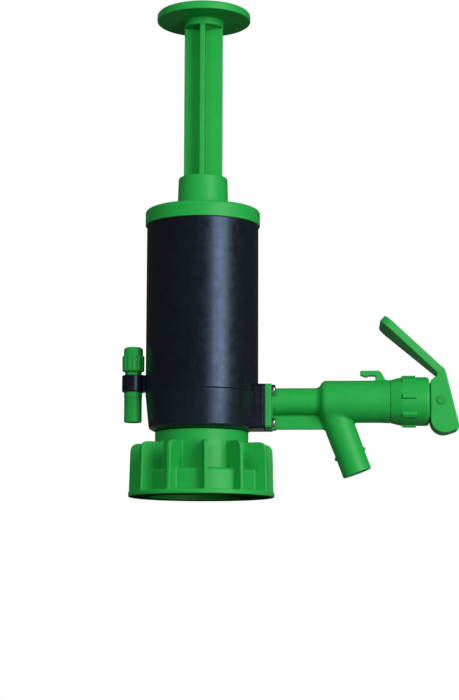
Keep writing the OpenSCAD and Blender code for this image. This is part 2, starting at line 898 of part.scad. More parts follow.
module valve_stem() {
    color(white_plastic)
        difference() {
            union() {
                on_tap(foot_x)
                    cylinder(r = stem_foot_r, h = stem_foot_t);
                on_tap(foot_x)
                    cylinder(r = stem_r, h = stem_end - foot_x);
            }
            for (side = [0, 1])
                mirror([0, side, 0])
                    translate([flats_x, stem_half, outlet_z - stem_r - over])
                        cube([stem_end - flats_x + over, stem_r, 2 * (stem_r + over)]);
            translate([pin_x, 0, outlet_z])
                rotate([90, 0, 0])
                    cylinder(r = pin_r + fit_gap, h = 2 * stem_r + over, center = true);
        }
}

module bonnet_nut() {
    end_edge = [bonnet_r - bonnet_round, bonnet_end - bonnet_round];
    color(green)
        difference() {
            union() {
                on_tap()
                    rotate_extrude()
                        polygon(concat([[0, bonnet_x], [bonnet_mouth_r, bonnet_x],
                                        [bonnet_r, bonnet_x + bonnet_cone]],
                                       arc(end_edge, bonnet_round, 0, 90),
                                       [[0, bonnet_end]]));
                on_tap(bonnet_x + bonnet_cone)
                    for (i = [0:bonnet_ribs - 1])
                        rotate(bonnet_rib_phase + i * 360 / bonnet_ribs)
                            translate([bonnet_r - over, -bonnet_rib_w / 2, 0])
                                cube([bonnet_rib_h + over, bonnet_rib_w, bonnet_rib_len]);
            }
            on_tap(bonnet_x - over)
                cylinder(r = neck_r + fit_gap, h = neck_end + gland_flange_t - bonnet_x + over);
            on_tap(neck_end)
                cylinder(r = gland_flange_r - 2, h = bonnet_wall_x - neck_end);
            on_tap(bonnet_wall_x - over)
                cylinder(r = stem_bore_r, h = bonnet_end - bonnet_wall_x + 2 * over);
        }
}

// Outline of the lever's cheeks about the pin
module cheek_outline() {
    corner = [cheek_corner_r - heel, cheek_corner_r - cheek_drop];
    polygon(concat(arc(corner, cheek_corner_r, 180, 270 + sole_lean),
                   arc(cheek_toe, cheek_toe_r, 270 + sole_lean, 360 + back_lean),
                   [[cheek_back, cheek_top - cheek_bevel], [cheek_back - cheek_bevel, cheek_top], cheek_brow],
                   [for (i = [arc_steps:-1:0]) heel_point((lever_travel + 2) * i / arc_steps)]));
}

// Plan of the lever's arm: it widens to a free end with round corners
module arm_plan() {
    tip = 5;
    tip_y = arm_tip_w / 2 - tip;
    polygon(concat([[-arm_lap, cheek_w / 2], [-arm_lap, -cheek_w / 2], [arm_lap, -cheek_w / 2]],
                   arc([arm_len - tip, -tip_y], tip, -90, 0),
                   arc([arm_len - tip, tip_y], tip, 0, 90),
                   [[arm_lap, cheek_w / 2]]));
}

module lever() {
    color(green)
        translate([pin_x, 0, outlet_z])
            difference() {
                union() {
                    across(cheek_w)
                        cheek_outline();
                    translate([arm_root[0], 0, arm_root[1]])
                        rotate([0, arm_rise - 180, 0])
                            translate([0, 0, -arm_t / 2])
                                linear_extrude(arm_t)
                                    arm_plan();
                }
                translate([-heel - over, -fork_half, -cheek_drop - over])
                    cube([heel + over + fork_depth, 2 * fork_half, cheek_drop + over + fork_top]);
                rotate([90, 0, 0])
                    cylinder(r = pin_r + fit_gap, h = cheek_w + 2 * over, center = true);
            }
}

module lever_pin() {
    color(green)
        translate([pin_x, cheek_w / 2, outlet_z])
            rotate([90, 0, 0]) {
                cylinder(r = pin_r, h = cheek_w);
                translate([0, 0, cheek_w])
                    cylinder(r = pin_head_r, h = pin_head_t);
                translate([0, 0, -pin_head_t])
                    cylinder(r = pin_head_r, h = pin_head_t);
            }
}

module vent_body() {
    tube_z = ring_z - vent_tube_len;
    color(green)
        translate([vent_x, 0, 0])
            difference() {
                union() {
                    translate([0, 0, tube_z])
                        cylinder(r = vent_tube_r, h = vent_tube_len);
                    translate([0, 0, ring_z - vent_cuff_len])
                        cylinder(r = vent_tube_r + vent_cuff_h, h = vent_cuff_len);
                    translate([0, 0, ring_z - weld])
                        cylinder(r = shank_r, h = ring_h + weld);
                    translate([0, 0, ring_top - weld])
                        cylinder(r = vent_thread_r, h = vent_shank_top - ring_top + weld);
                }
                translate([0, 0, tube_z - over])
                    cylinder(r = tube_bore_r, h = vent_tube_len - vent_cuff_len + over);
                translate([0, 0, tube_z])
                    cylinder(r = exhaust_r, h = vent_seat_z - tube_z + over);
                translate([0, 0, vent_seat_z])
                    cylinder(r = vent_chamber_r, h = vent_shank_top - vent_seat_z + over);
                translate([0, 0, port_z])
                    rotate([0, 90, 0])
                        cylinder(r = port_r, h = shank_r + over);
                for (z = vent_ring_levels)
                    translate([0, 0, z - vent_ring_r - seal_groove])
                        ring(shank_r + over, shank_r - 2 * vent_ring_r, 2 * (vent_ring_r + seal_groove));
            }
}

module vent_o_rings() {
    color(rubber)
        for (z = vent_ring_levels)
            translate([vent_x, 0, z])
                torus(shank_r - vent_ring_r, vent_ring_r);
}

module vent_nut() {
    color(green)
        translate([vent_x, 0, ring_top])
            difference() {
                cylinder(r = vent_nut_r, h = vent_nut_t, $fn = 6);
                translate([0, 0, -over])
                    cylinder(r = vent_thread_r + fit_gap, h = vent_nut_t + 2 * over);
            }
}

module vent_seal() {
    color(rubber)
        translate([vent_x, 0, vent_seat_z + 0.1])
            cylinder(r = vent_seal_r, h = vent_seal_t);
}

module vent_spindle() {
    foot = vent_seat_z + 0.1 + vent_seal_t;
    color(steel)
        translate([vent_x, 0, foot]) {
            cylinder(r = vent_seal_r, h = 0.6);
            cylinder(r = spindle_r, h = spindle_top - foot);
        }
}

module spindle_o_ring() {
    color(rubber)
        translate([vent_x, 0, vent_shank_top - 3])
            torus(spindle_r + fit_gap + 0.4, 0.4);
}

module vent_knob() {
    edge = 1.2;
    color(green)
        translate([vent_x, 0, 0])
            difference() {
                union() {
                    rotate_extrude()
                        polygon(concat([[0, vent_knob_z], [vent_knob_r - edge / 2, vent_knob_z],
                                        [vent_knob_r, vent_knob_z + edge]],
                                       arc([vent_knob_r - edge, vent_knob_top - edge], edge, 0, 90),
                                       [[0, vent_knob_top]]));
                    for (i = [0:vent_ribs - 1])
                        rotate((i + 0.5) * 360 / vent_ribs)
                            translate([vent_knob_r - over, -vent_rib_w / 2, vent_knob_z + 0.6])
                                cube([vent_rib_h + over, vent_rib_w, vent_rib_len]);
                }
                translate([0, 0, vent_knob_z - over])
                    cylinder(r = vent_cup_r, h = vent_roof_z - vent_knob_z + over);
                cylinder(r = spindle_r + fit_gap, h = spindle_top + fit_gap);
            }
}

winged_nut();
neck_flange();
neck_gasket();
suction_tail();
pump_base();
air_valve();
barrel_o_rings();
barrel_tube();
top_cap();
guide_bush();
plunger_rod();
plunger_knob();
piston_cup();
piston_washer();
piston_screw();
flange_gasket();
flange_screws();
tap_body();
stem_gland();
stem_o_ring();
stem_spring();
valve_washer();
valve_stem();
bonnet_nut();
lever();
lever_pin();
vent_body();
vent_o_rings();
vent_nut();
vent_seal();
vent_spindle();
spindle_o_ring();
vent_knob();
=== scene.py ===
"""Looks of the hand transfer pump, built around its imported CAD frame.

Lengths are in millimetres until a mesh is made, and in metres from there on.
Moulded pieces are meshed from distance fields, so their edges and roots are rounded. Round pieces
are turned from outlines. Repeated and wound pieces come from Geometry Nodes.
"""

from __future__ import annotations

import json
import logging
import math
from dataclasses import dataclass, field
from enum import Enum
from typing import Callable, Sequence

import bpy
import numpy as np
from mathutils import Matrix, Vector

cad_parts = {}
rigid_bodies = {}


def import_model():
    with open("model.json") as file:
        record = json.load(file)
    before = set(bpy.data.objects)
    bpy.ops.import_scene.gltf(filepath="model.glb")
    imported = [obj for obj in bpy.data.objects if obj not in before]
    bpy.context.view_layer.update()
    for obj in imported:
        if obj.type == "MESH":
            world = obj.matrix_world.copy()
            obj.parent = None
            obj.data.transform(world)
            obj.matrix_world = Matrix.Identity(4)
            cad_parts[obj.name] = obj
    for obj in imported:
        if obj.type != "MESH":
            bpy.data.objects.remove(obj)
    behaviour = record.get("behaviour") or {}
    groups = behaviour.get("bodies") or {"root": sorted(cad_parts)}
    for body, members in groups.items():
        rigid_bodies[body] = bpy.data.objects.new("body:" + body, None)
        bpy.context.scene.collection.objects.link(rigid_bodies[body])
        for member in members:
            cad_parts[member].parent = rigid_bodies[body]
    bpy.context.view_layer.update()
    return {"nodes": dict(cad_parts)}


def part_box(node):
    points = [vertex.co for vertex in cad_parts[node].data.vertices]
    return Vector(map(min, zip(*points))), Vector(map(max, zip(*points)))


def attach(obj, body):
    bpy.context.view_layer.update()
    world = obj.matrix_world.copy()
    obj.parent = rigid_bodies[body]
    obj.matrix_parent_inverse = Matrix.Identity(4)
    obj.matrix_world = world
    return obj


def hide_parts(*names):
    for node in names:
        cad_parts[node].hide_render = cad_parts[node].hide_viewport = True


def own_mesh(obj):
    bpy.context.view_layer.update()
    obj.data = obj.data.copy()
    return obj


LOG = logging.getLogger("transfer_pump")
MM = 0.001
TINY = 1e-12

# Attribute that tells edges from creases, and the radius in metres of a clear edge
EDGE = "edge"
EDGE_R = 0.0008

# Angles in degrees from which shading breaks, on outlines and on copies
SHARP = 32.0
SHARP_COPIES = 40.0

# Radius past the axis where the outline of a turned solid closes, and how far cuts run past a face
CORE = -10.0
PAST = 9.0

# Segments round turned meshes and along wound wires
FINE_STEPS = 240
ROUND_STEPS = 144
SMALL_STEPS = 96
COIL_STEPS = 64
WIRE_STEPS = 16

SETTLE_PASSES = 3
LEAST_SLOPE = 0.2

Point2 = tuple[float, float]
Point3 = tuple[float, float, float]
Corner = tuple[float, float, float]
Colour = tuple[float, float, float]
Distance = Callable[[np.ndarray], np.ndarray]

PURE: Colour = (1.0, 1.0, 1.0)

# Spans of the edge attribute and of noise values that finishes work with
# Edge span that is paled: partly wear, partly a painted highlight along rims
WORN_LIT_RIMS: Point2 = (0.18, 0.7)
# Crease span of the edge attribute, darkened as painted shade
SHADED_CREASES: Point2 = (-0.6, -0.1)
MIDDLE: Point2 = (0.3, 0.7)
WIDE: Point2 = (0.2, 0.8)
STREAKS: Point2 = (0.6, 0.8)
WIDE_STREAKS: Point2 = (0.4, 0.8)


class Body(Enum):
    """CAD bodies that pieces ride on."""

    PUMP = "pump_body"
    PLUNGER = "plunger"
    NUT = "neck_nut"
    VALVE = "tap_valve"
    LEVER = "tap_lever"
    NEEDLE = "vent_needle"
    GRIP = "vent_grip"


class Slot(Enum):
    """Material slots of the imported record."""

    GREEN = "green_plastic"
    BLACK = "black_plastic"
    WHITE = "white_plastic"
    RUBBER = "rubber"
    STEEL = "steel"


class Ends(Enum):
    """How an outline that is turned about an axis closes."""

    LOOP = "loop"
    ON_AXIS = "on axis"


@dataclass(frozen=True)
class Place:
    """A local frame: its origin in millimetres and the directions of its axes."""

    origin: Point3 = (0.0, 0.0, 0.0)
    x: Point3 = (1.0, 0.0, 0.0)
    y: Point3 = (0.0, 1.0, 0.0)
    z: Point3 = (0.0, 0.0, 1.0)

    def local(self, points: np.ndarray) -> np.ndarray:
        """Returns the points' coordinates in this frame."""
        return (points - np.array(self.origin)) @ np.array([self.x, self.y, self.z]).T

    def world(self, points: np.ndarray) -> np.ndarray:
        """Returns the shared frame's coordinates of points given in this frame."""
        return points @ np.array([self.x, self.y, self.z]) + np.array(self.origin)

    def moved(self, x: float, y: float, z: float) -> Place:
        """Returns this frame with its origin moved along its own axes."""
        at = self.world(np.array([[x, y, z]], float))[0]
        return Place(tuple(float(v) for v in at), self.x, self.y, self.z)


def along_x(z: float) -> Place:
    """Returns a frame whose axis runs along +X at height z."""
    return Place((0.0, 0.0, z), (0.0, 0.0, -1.0), (0.0, 1.0, 0.0), (1.0, 0.0, 0.0))


def across_x(x: float, z: float) -> Place:
    """Returns a frame for plates that lie across the tap's axis."""
    return Place((x, 0.0, z), (0.0, 1.0, 0.0), (0.0, 0.0, 1.0), (1.0, 0.0, 0.0))


def upright(x: float = 0.0, z: float = 0.0) -> Place:
    """Returns a frame for outlines drawn in the upright plane through the tap's axis."""
    return Place((x, 0.0, z), (1.0, 0.0, 0.0), (0.0, 0.0, 1.0), (0.0, -1.0, 0.0))


def rounded(corners: Sequence[Corner], ends: Ends = Ends.LOOP, steps: int = 7) -> list[Point2]:
    """Rounds the corners of an outline.

    Args:
        corners: Points with the radius of the arc at each.
        ends: Whether the outline is a loop or has two ends.
        steps: Segments in each arc.

    Returns:
        The outline's points, with support points beside each arc so that flat faces stay flat.
    """
    made: list[Point2] = []
    count = len(corners)
    for i, (px, py, radius) in enumerate(corners):
        if radius <= 0:
            made.append((px, py))
            continue
        p = np.array([px, py])
        before = np.array(corners[i - 1][:2]) - p
        after = np.array(corners[(i + 1) % count][:2]) - p
        u, v = before / np.linalg.norm(before), after / np.linalg.norm(after)
        half = math.acos(max(-1.0, min(1.0, float(u @ v)))) / 2
        start = p + u * radius / math.tan(half)
        centre = p + (u + v) / np.linalg.norm(u + v) * radius / math.sin(half)
        arm = start - centre
        sweep = math.pi - 2 * half
        turn = -1.0 if u[0] * v[1] - u[1] * v[0] > 0 else 1.0
        for k in range(steps + 1):
            a = turn * sweep * k / steps
            made.append((float(centre[0] + arm[0] * math.cos(a) - arm[1] * math.sin(a)),
                         float(centre[1] + arm[0] * math.sin(a) + arm[1] * math.cos(a))))
    return supported(made, ends)


def supported(outline: Sequence[Point2], ends: Ends, margin: float = 0.2,
              least: float = 1.2) -> list[Point2]:
    """Adds a point near each end of an outline's long edges.

    Args:
        outline: The points.
        ends: Whether the outline is a loop or has two ends.
        margin: Distance of the added points from the edge's ends.
        least: Length above which an edge gets them.

    Returns:
        The outline with the added points.
    """
    made: list[Point2] = []
    last = len(outline) if ends is Ends.LOOP else len(outline) - 1
    for i in range(len(outline)):
        made.append(outline[i])
        if i >= last:
            continue
        a, b = np.array(outline[i]), np.array(outline[(i + 1) % len(outline)])
        length = float(np.linalg.norm(b - a))
        if length > least:
            for share in (margin / length, 1 - margin / length):
                q = a + (b - a) * share
                made.append((float(q[0]), float(q[1])))
    return made


def outline_distance(u: np.ndarray, v: np.ndarray, outline: Sequence[Point2]) -> np.ndarray:
    """Measures how far points in a plane are from a closed outline.

    Args:
        u: First coordinates.
        v: Second coordinates.
        outline: The outline's points.

    Returns:
        Distances, negative inside.
    """
    square = np.full(u.shape, np.inf)
    inside = np.zeros(u.shape, bool)
    for i, (ax, ay) in enumerate(outline):
        bx, by = outline[(i + 1) % len(outline)]
        ex, ey = bx - ax, by - ay
        length = ex * ex + ey * ey
        if length < TINY:
            continue
        wu, wv = u - ax, v - ay
        t = np.clip((wu * ex + wv * ey) / length, 0.0, 1.0)
        square = np.minimum(square, (wu - ex * t) ** 2 + (wv - ey * t) ** 2)
        if ay != by:
            spans = (v >= min(ay, by)) & (v < max(ay, by))
            inside ^= spans & (wu < ex * wv / ey)
    return np.where(inside, -1.0, 1.0) * np.sqrt(square)


def slab_distance(flat: np.ndarray, deep: np.ndarray, edge: float) -> np.ndarray:
    """Joins distances across and along a slab.

    Args:
        flat: Distances from its outline.
        deep: Distances from its two faces.
        edge: Rounding of the edges between them.

    Returns:
        Distances from the whole slab.
    """
    flat, deep = flat + edge, deep + edge
    outer = np.hypot(np.maximum(flat, 0), np.maximum(deep, 0))
    return np.minimum(np.maximum(flat, deep), 0) + outer - edge


def joined_distance(a: np.ndarray, b: np.ndarray, r: float) -> np.ndarray:
    """Joins the distances from two solids.

    Args:
        a: Distances from the first.
        b: Distances from the second.
        r: Radius of the fillet where they meet.

    Returns:
        Distances from both as one.
    """
    if r <= 0:
        return np.minimum(a, b)
    return np.maximum(r, np.minimum(a, b)) - np.hypot(np.maximum(r - a, 0), np.maximum(r - b, 0))


class Solid:
    """A solid given by a distance field in millimetres, negative inside."""

    def __init__(self, distance: Distance) -> None:
        """Keeps the field that gives the solid's distance."""
        self.distance = distance

    @classmethod
    def turned(cls, corners: Sequence[Corner], place: Place = Place()) -> Solid:
        """Makes a solid by turning an outline about a frame's z axis.

        Args:
            corners: The outline's radii and heights, with the radius of the arc at each.
            place: The frame.

        Returns:
            The solid.
        """
        outline = rounded(corners)

        def distance(points: np.ndarray) -> np.ndarray:
            """Returns the distances of points."""
            q = place.local(points)
            return outline_distance(np.hypot(q[:, 0], q[:, 1]), q[:, 2], outline)

        return cls(distance)

    @classmethod
    def plate(cls, corners: Sequence[Corner], half: float, edge: float, place: Place) -> Solid:
        """Makes a plate.

        Args:
            corners: The outline in the frame's x and y.
            half: Half of the thickness along z.
            edge: Rounding of the outline's edges.
            place: The frame.

        Returns:
            The solid.
        """
        outline = rounded(corners)

        def distance(points: np.ndarray) -> np.ndarray:
            """Returns the distances of points."""
            q = place.local(points)
            return slab_distance(outline_distance(q[:, 0], q[:, 1], outline), np.abs(q[:, 2]) - half, edge)

        return cls(distance)

    @classmethod
    def cylinder(cls, r: float, low: float, high: float, place: Place = Place(),
                 edge: float = 0.0) -> Solid:
        """Makes a round bar about a frame's z axis.

        Args:
            r: Radius.
            low: Where it starts along z.
            high: Where it ends along z.
            place: The frame.
            edge: Rounding of its ends.

        Returns:
            The solid.
        """
        middle, half = (low + high) / 2, (high - low) / 2

        def distance(points: np.ndarray) -> np.ndarray:
            """Returns the distances of points."""
            q = place.local(points)
            return slab_distance(np.hypot(q[:, 0], q[:, 1]) - r, np.abs(q[:, 2] - middle) - half, edge)

        return cls(distance)

    @classmethod
    def ball(cls, r: float, centre: Point3) -> Solid:
        """Makes a ball."""
        return cls(lambda points: np.linalg.norm(points - np.array(centre), axis=1) - r)

    @classmethod
    def box(cls, low: Sequence[float], high: Sequence[float], place: Place = Place(),
            edge: float = 0.0) -> Solid:
        """Makes a block.

        Args:
            low: Its lowest corner in the frame.
            high: Its highest corner.
            place: The frame.
            edge: Rounding of its edges.

        Returns:
            The solid.
        """
        middle = (np.array(low, float) + np.array(high, float)) / 2
        half = (np.array(high, float) - np.array(low, float)) / 2 - edge

        def distance(points: np.ndarray) -> np.ndarray:
            """Returns the distances of points."""
            q = np.abs(place.local(points) - middle) - half
            return np.minimum(q.max(1), 0) + np.linalg.norm(np.maximum(q, 0), axis=1) - edge

        return cls(distance)

    def join(self, other: Solid, fillet: float = 0.0) -> Solid:
        """Adds a solid, with a fillet of that radius at the root."""
        first, second = self.distance, other.distance
        return Solid(lambda points: joined_distance(first(points), second(points), fillet))

    def cut(self, other: Solid, edge: float = 0.0) -> Solid:
        """Takes a solid away, with the new edge rounded by that radius."""
        first, second = self.distance, other.distance
        return Solid(lambda points: -joined_distance(-first(points), second(points), edge))

    def within(self, other: Solid) -> Solid:
        """Keeps only what lies inside another solid."""
        first, second = self.distance, other.distance
        return Solid(lambda points: np.maximum(first(points), second(points)))

    def around(self, count: int, first: float, place: Place = Place()) -> Solid:
        """Repeats this solid about a frame's z axis.

        Args:
            count: How many copies a full turn has.
            first: Angle of the first copy in degrees.
            place: The frame. The solid is drawn along its x axis.

        Returns:
            The repeated solid.
        """
        one, step = self.distance, 2 * math.pi / count

        def distance(points: np.ndarray) -> np.ndarray:
            """Turns points into the first copy's sector and measures there.

            Args:
                points: The points.

            Returns:
                Their distances.
            """
            q = place.local(points)
            r = np.hypot(q[:, 0], q[:, 1])
            a = np.arctan2(q[:, 1], q[:, 0]) - math.radians(first)
            a = (a + step / 2) % step - step / 2
            return one(place.world(np.stack([r * np.cos(a), r * np.sin(a), q[:, 2]], 1)))

        return Solid(distance)

    def gradient(self, points: np.ndarray, h: float = 0.02) -> np.ndarray:
        """Measures the field's gradient by central differences.

        Args:
            points: The points.
            h: Half of the step.

        Returns:
            The gradient at each point.
        """
        made = np.empty_like(points)
        for axis in range(3):
            step = np.zeros(3)
            step[axis] = h
            made[:, axis] = (self.distance(points + step) - self.distance(points - step)) / (2 * h)
        return made

    def mesh(self, name: str, low: Sequence[float], high: Sequence[float], cell: float) -> bpy.types.Mesh:
        """Meshes the solid's surface.

        Args:
            name: Name of the mesh.
            low: Lowest corner of the solid's box.
            high: Highest corner of the solid's box.
            cell: Size of the grid's cells.

        Returns:
            The mesh in metres, with the field's own normals.
        """
        size = cell
        points, quads = SurfaceNet(self, np.array(low, float), np.array(high, float), size).build()
        for _ in range(SETTLE_PASSES):
            slope = self.gradient(points)
            square = np.maximum((slope * slope).sum(1), LEAST_SLOPE)
            step = np.clip(self.distance(points), -size, size) / square
            points = points - slope * step[:, None]
        normals = self.gradient(points)
        normals /= np.maximum(np.linalg.norm(normals, axis=1), TINY)[:, None]
        mesh = bpy.data.meshes.new(name)
        mesh.from_pydata((points * MM).tolist(), [], quads.tolist())
        mesh.shade_smooth()
        mesh.normals_split_custom_set_from_vertices(normals.tolist())
        mark_edges(mesh, normals)
        return mesh


@dataclass
class SurfaceNet:
    """Surface of a solid as one vertex in each grid cell that it crosses.

    The margins are in cells. The first is uneven, so that flat faces lie off the grid's points.
    """

    solid: Solid
    low: np.ndarray
    high: np.ndarray
    cell: float
    block: int = 4
    margin_low: float = 1.37
    margin_high: float = 1.5
    nearness: float = 1.05

    def build(self) -> tuple[np.ndarray, np.ndarray]:
        """Builds the net.

        Returns:
            The net's points and its quads, wound outward.
        """
        self.low = self.low - self.margin_low * self.cell
        reach = self.cell * self.block
        blocks = np.ceil((self.high + self.margin_high * self.cell - self.low) / reach).astype(int)
        values, near = self.sample(blocks, reach)
        corners = [(i, j, k) for i in (0, 1) for j in (0, 1) for k in (0, 1)]
        full = values.shape
        ins = [values[c[0]:full[0] - 1 + c[0], c[1]:full[1] - 1 + c[1], c[2]:full[2] - 1 + c[2]] < 0
               for c in corners]
        crossed = near & np.logical_or.reduce(ins) & ~np.logical_and.reduce(ins)
        cells = np.argwhere(crossed)
        ids = np.full(crossed.shape, -1)
        ids[tuple(cells.T)] = np.arange(len(cells))
        return self.centres(values, cells, corners), self.quads(values, ids)

    def sample(self, blocks: np.ndarray, reach: float) -> tuple[np.ndarray, np.ndarray]:
        """Evaluates the field at the grid points near the surface.

        Args:
            blocks: Number of blocks along each axis.
            reach: Size of a block.

        Returns:
            Values at the grid points, and which cells lie near the surface.
        """
        index = np.stack(np.meshgrid(*[np.arange(n) for n in blocks], indexing="ij"), -1)
        middles = self.low + (index.reshape(-1, 3) + 0.5) * reach
        coarse = self.solid.distance(middles).reshape(blocks)
        near = np.abs(coarse) < reach * self.nearness
        for axis in range(3):
            coarse = np.repeat(coarse, self.block, axis)
            near = np.repeat(near, self.block, axis)
        values = np.pad(coarse, (0, 1), mode="edge")
        wanted = np.zeros(values.shape, bool)
        shape = near.shape
        for i in (0, 1):
            for j in (0, 1):
                for k in (0, 1):
                    wanted[i:shape[0] + i, j:shape[1] + j, k:shape[2] + k] |= near
        at = np.argwhere(wanted)
        values[wanted] = self.solid.distance(self.low + at * self.cell)
        return values, near

    def centres(self, values: np.ndarray, cells: np.ndarray,
                corners: list[tuple[int, int, int]]) -> np.ndarray:
        """Places a point in each crossed cell, at the mean of the crossings on its edges.

        Args:
            values: The field at the grid's points.
            cells: The crossed cells.
            corners: Offsets of a cell's corners.

        Returns:
            The points.
        """
        total = np.zeros((len(cells), 3))
        count = np.zeros(len(cells))
        at = [values[tuple((cells + np.array(c)).T)] for c in corners]
        for a in range(len(corners)):
            for b in range(a + 1, len(corners)):
                step = np.array(corners[b]) - np.array(corners[a])
                if np.abs(step).sum() != 1:
                    continue
                hit = (at[a] < 0) != (at[b] < 0)
                gap = np.where(hit, at[a] - at[b], 1.0)
                share = np.where(hit, at[a] / gap, 0.0)
                total += np.where(hit[:, None], np.array(corners[a]) + share[:, None] * step, 0.0)
                count += hit
        return self.low + (cells + total / count[:, None]) * self.cell

    @staticmethod
    def quads(values: np.ndarray, ids: np.ndarray) -> np.ndarray:
        """Lays a quad over each grid edge that the surface crosses.

        Args:
            values: The field at the grid's points.
            ids: Each cell's point, or -1.

        Returns:
            The quads.
        """
        made = []
        inside = values < 0
        for axis in range(3):
            a = np.take(inside, range(inside.shape[axis] - 1), axis)
            b = np.take(inside, range(1, inside.shape[axis]), axis)
            at = np.argwhere(a != b)
            u, v = (axis + 1) % 3, (axis + 2) % 3
            keep = (at[:, u] > 0) & (at[:, v] > 0)
            keep &= (at[:, u] < ids.shape[u]) & (at[:, v] < ids.shape[v])
            at = at[keep]
            ring = []
            for du, dv in ((-1, -1), (0, -1), (0, 0), (-1, 0)):
                cell = at.copy()
                cell[:, u] += du
                cell[:, v] += dv
                ring.append(ids[tuple(cell.T)])
            quad = np.stack(ring, 1)
            flip = ~a[tuple(at.T)]
            quad[flip] = quad[flip][:, ::-1]
            made.append(quad[(quad >= 0).all(1)])
        return np.concatenate(made)


def mark_edges(mesh: bpy.types.Mesh, normals: np.ndarray | None = None) -> None:
    """Writes how sharply a mesh turns at each point: above 0 on edges, below 0 in creases.

    Args:
        mesh: The mesh.
        normals: Normals at its points, or None to take the mesh's own.
    """
    count = len(mesh.vertices)
    points = np.empty(count * 3)
    mesh.vertices.foreach_get("co", points)
    points = points.reshape(-1, 3)
    if normals is None:
        normals = np.empty(count * 3)
        mesh.vertex_normals.foreach_get("vector", normals)
        normals = normals.reshape(-1, 3)
    ends = np.empty(len(mesh.edges) * 2, int)
    mesh.edges.foreach_get("vertices", ends)
    a, b = ends.reshape(-1, 2).T
    along = points[b] - points[a]
    bend = ((normals[b] - normals[a]) * along).sum(1) / np.maximum((along * along).sum(1), TINY)
    total = np.bincount(a, bend, count) + np.bincount(b, bend, count)
    share = np.bincount(a, minlength=count) + np.bincount(b, minlength=count)
    mean = total / np.maximum(share, 1)
    kept = mesh.attributes.new(EDGE, "FLOAT", "POINT")
    kept.data.foreach_set("value", np.tanh(mean * EDGE_R).astype(np.float32))


def turned_mesh(name: str, corners: Sequence[Corner], place: Place = Place(),
                ends: Ends = Ends.LOOP, steps: int = ROUND_STEPS) -> bpy.types.Mesh:
    """Turns an outline of radius and height about a frame's z axis.

    Args:
        name: Name of the mesh.
        corners: The outline's corners with their radii.
        place: The frame.
        ends: A loop, or an outline that starts and ends on the axis.
        steps: Segments round the axis.

    Returns:
        The mesh in metres, closed, with its faces outward.
    """
    outline = rounded(corners, ends)
    angles = 2 * math.pi * np.arange(steps) / steps
    points: list[np.ndarray] = []
    rings: list[list[int]] = []
    for r, z in outline:
        start = len(points)
        if r < TINY:
            points.append(np.array([0.0, 0.0, z]))
            rings.append([start] * steps)
        else:
            points.extend(np.array([r * math.cos(a), r * math.sin(a), z]) for a in angles)
            rings.append(list(range(start, start + steps)))
    pairs = list(zip(rings, rings[1:]))
    if ends is Ends.LOOP:
        pairs.append((rings[-1], rings[0]))
    area = sum(a[0] * b[1] - b[0] * a[1] for a, b in zip(outline, outline[1:] + outline[:1]))
    faces = []
    for low, high in pairs:
        for i in range(steps):
            j = (i + 1) % steps
            face = list(dict.fromkeys([low[i], low[j], high[j], high[i]]))
            if len(face) > 2:
                faces.append(face if area > 0 else face[::-1])
    mesh = bpy.data.meshes.new(name)
    mesh.from_pydata((place.world(np.array(points)) * MM).tolist(), [], faces)
    mesh.shade_smooth()
    mesh.set_sharp_from_angle(angle=math.radians(SHARP))
    mark_edges(mesh)
    return mesh


def prism_mesh(name: str, corners: Sequence[Corner], low: float, high: float) -> bpy.types.Mesh:
    """Extrudes an outline upwards.

    Args:
        name: Name of the mesh.
        corners: The outline's corners with their radii, counter-clockwise.
        low: Where it starts along z.
        high: Where it ends along z.

    Returns:
        The mesh in metres, closed, with its faces outward.
    """
    outline = rounded(corners)
    count = len(outline)
    points = [(x, y, z) for z in (low, high) for x, y in outline]
    faces = [[i, (i + 1) % count, count + (i + 1) % count, count + i] for i in range(count)]
    faces += [list(range(count))[::-1], list(range(count, 2 * count))]
    mesh = bpy.data.meshes.new(name)
    mesh.from_pydata((np.array(points, float) * MM).tolist(), [], faces)
    mesh.shade_smooth()
    mesh.set_sharp_from_angle(angle=math.radians(SHARP))
    mark_edges(mesh)
    return mesh


class NodeMaker:
    """A node tree, built with short calls."""

    def __init__(self, tree: bpy.types.NodeTree, prefix: str = "") -> None:
        """Keeps the tree and the prefix of its nodes' types."""
        self.tree, self.prefix = tree, prefix

    def add(self, kind: str, **values: object) -> bpy.types.Node:
        """Adds a node.

        Args:
            kind: The node's type without the prefix.
            values: Values of its properties, or of its sockets with spaces as underscores.

        Returns:
            The node.
        """
        node = self.tree.nodes.new(self.prefix + kind)
        for key, value in values.items():
            if key in node.bl_rna.properties:
                setattr(node, key, value)
            else:
                self.put(node.inputs[key.replace("_", " ")], value)
        return node

    def put(self, socket: bpy.types.NodeSocket, value: object) -> None:
        """Links or sets a socket.

        Args:
            socket: The socket.
            value: Another node's output, or a plain value.
        """
        if isinstance(value, bpy.types.NodeSocket):
            self.tree.links.new(value, socket)
        else:
            socket.default_value = value

    def of(self, kind: str, *values: object, **settings: object) -> bpy.types.NodeSocket:
        """Adds a node whose first sockets are linked or set in order.

        Args:
            kind: The node's type without the prefix.
            values: Values of its sockets.
            settings: Values of its properties.

        Returns:
            Its first output.
        """
        node = self.add(kind, **settings)
        for socket, value in zip(node.inputs, values):
            self.put(socket, value)
        return node.outputs[0]


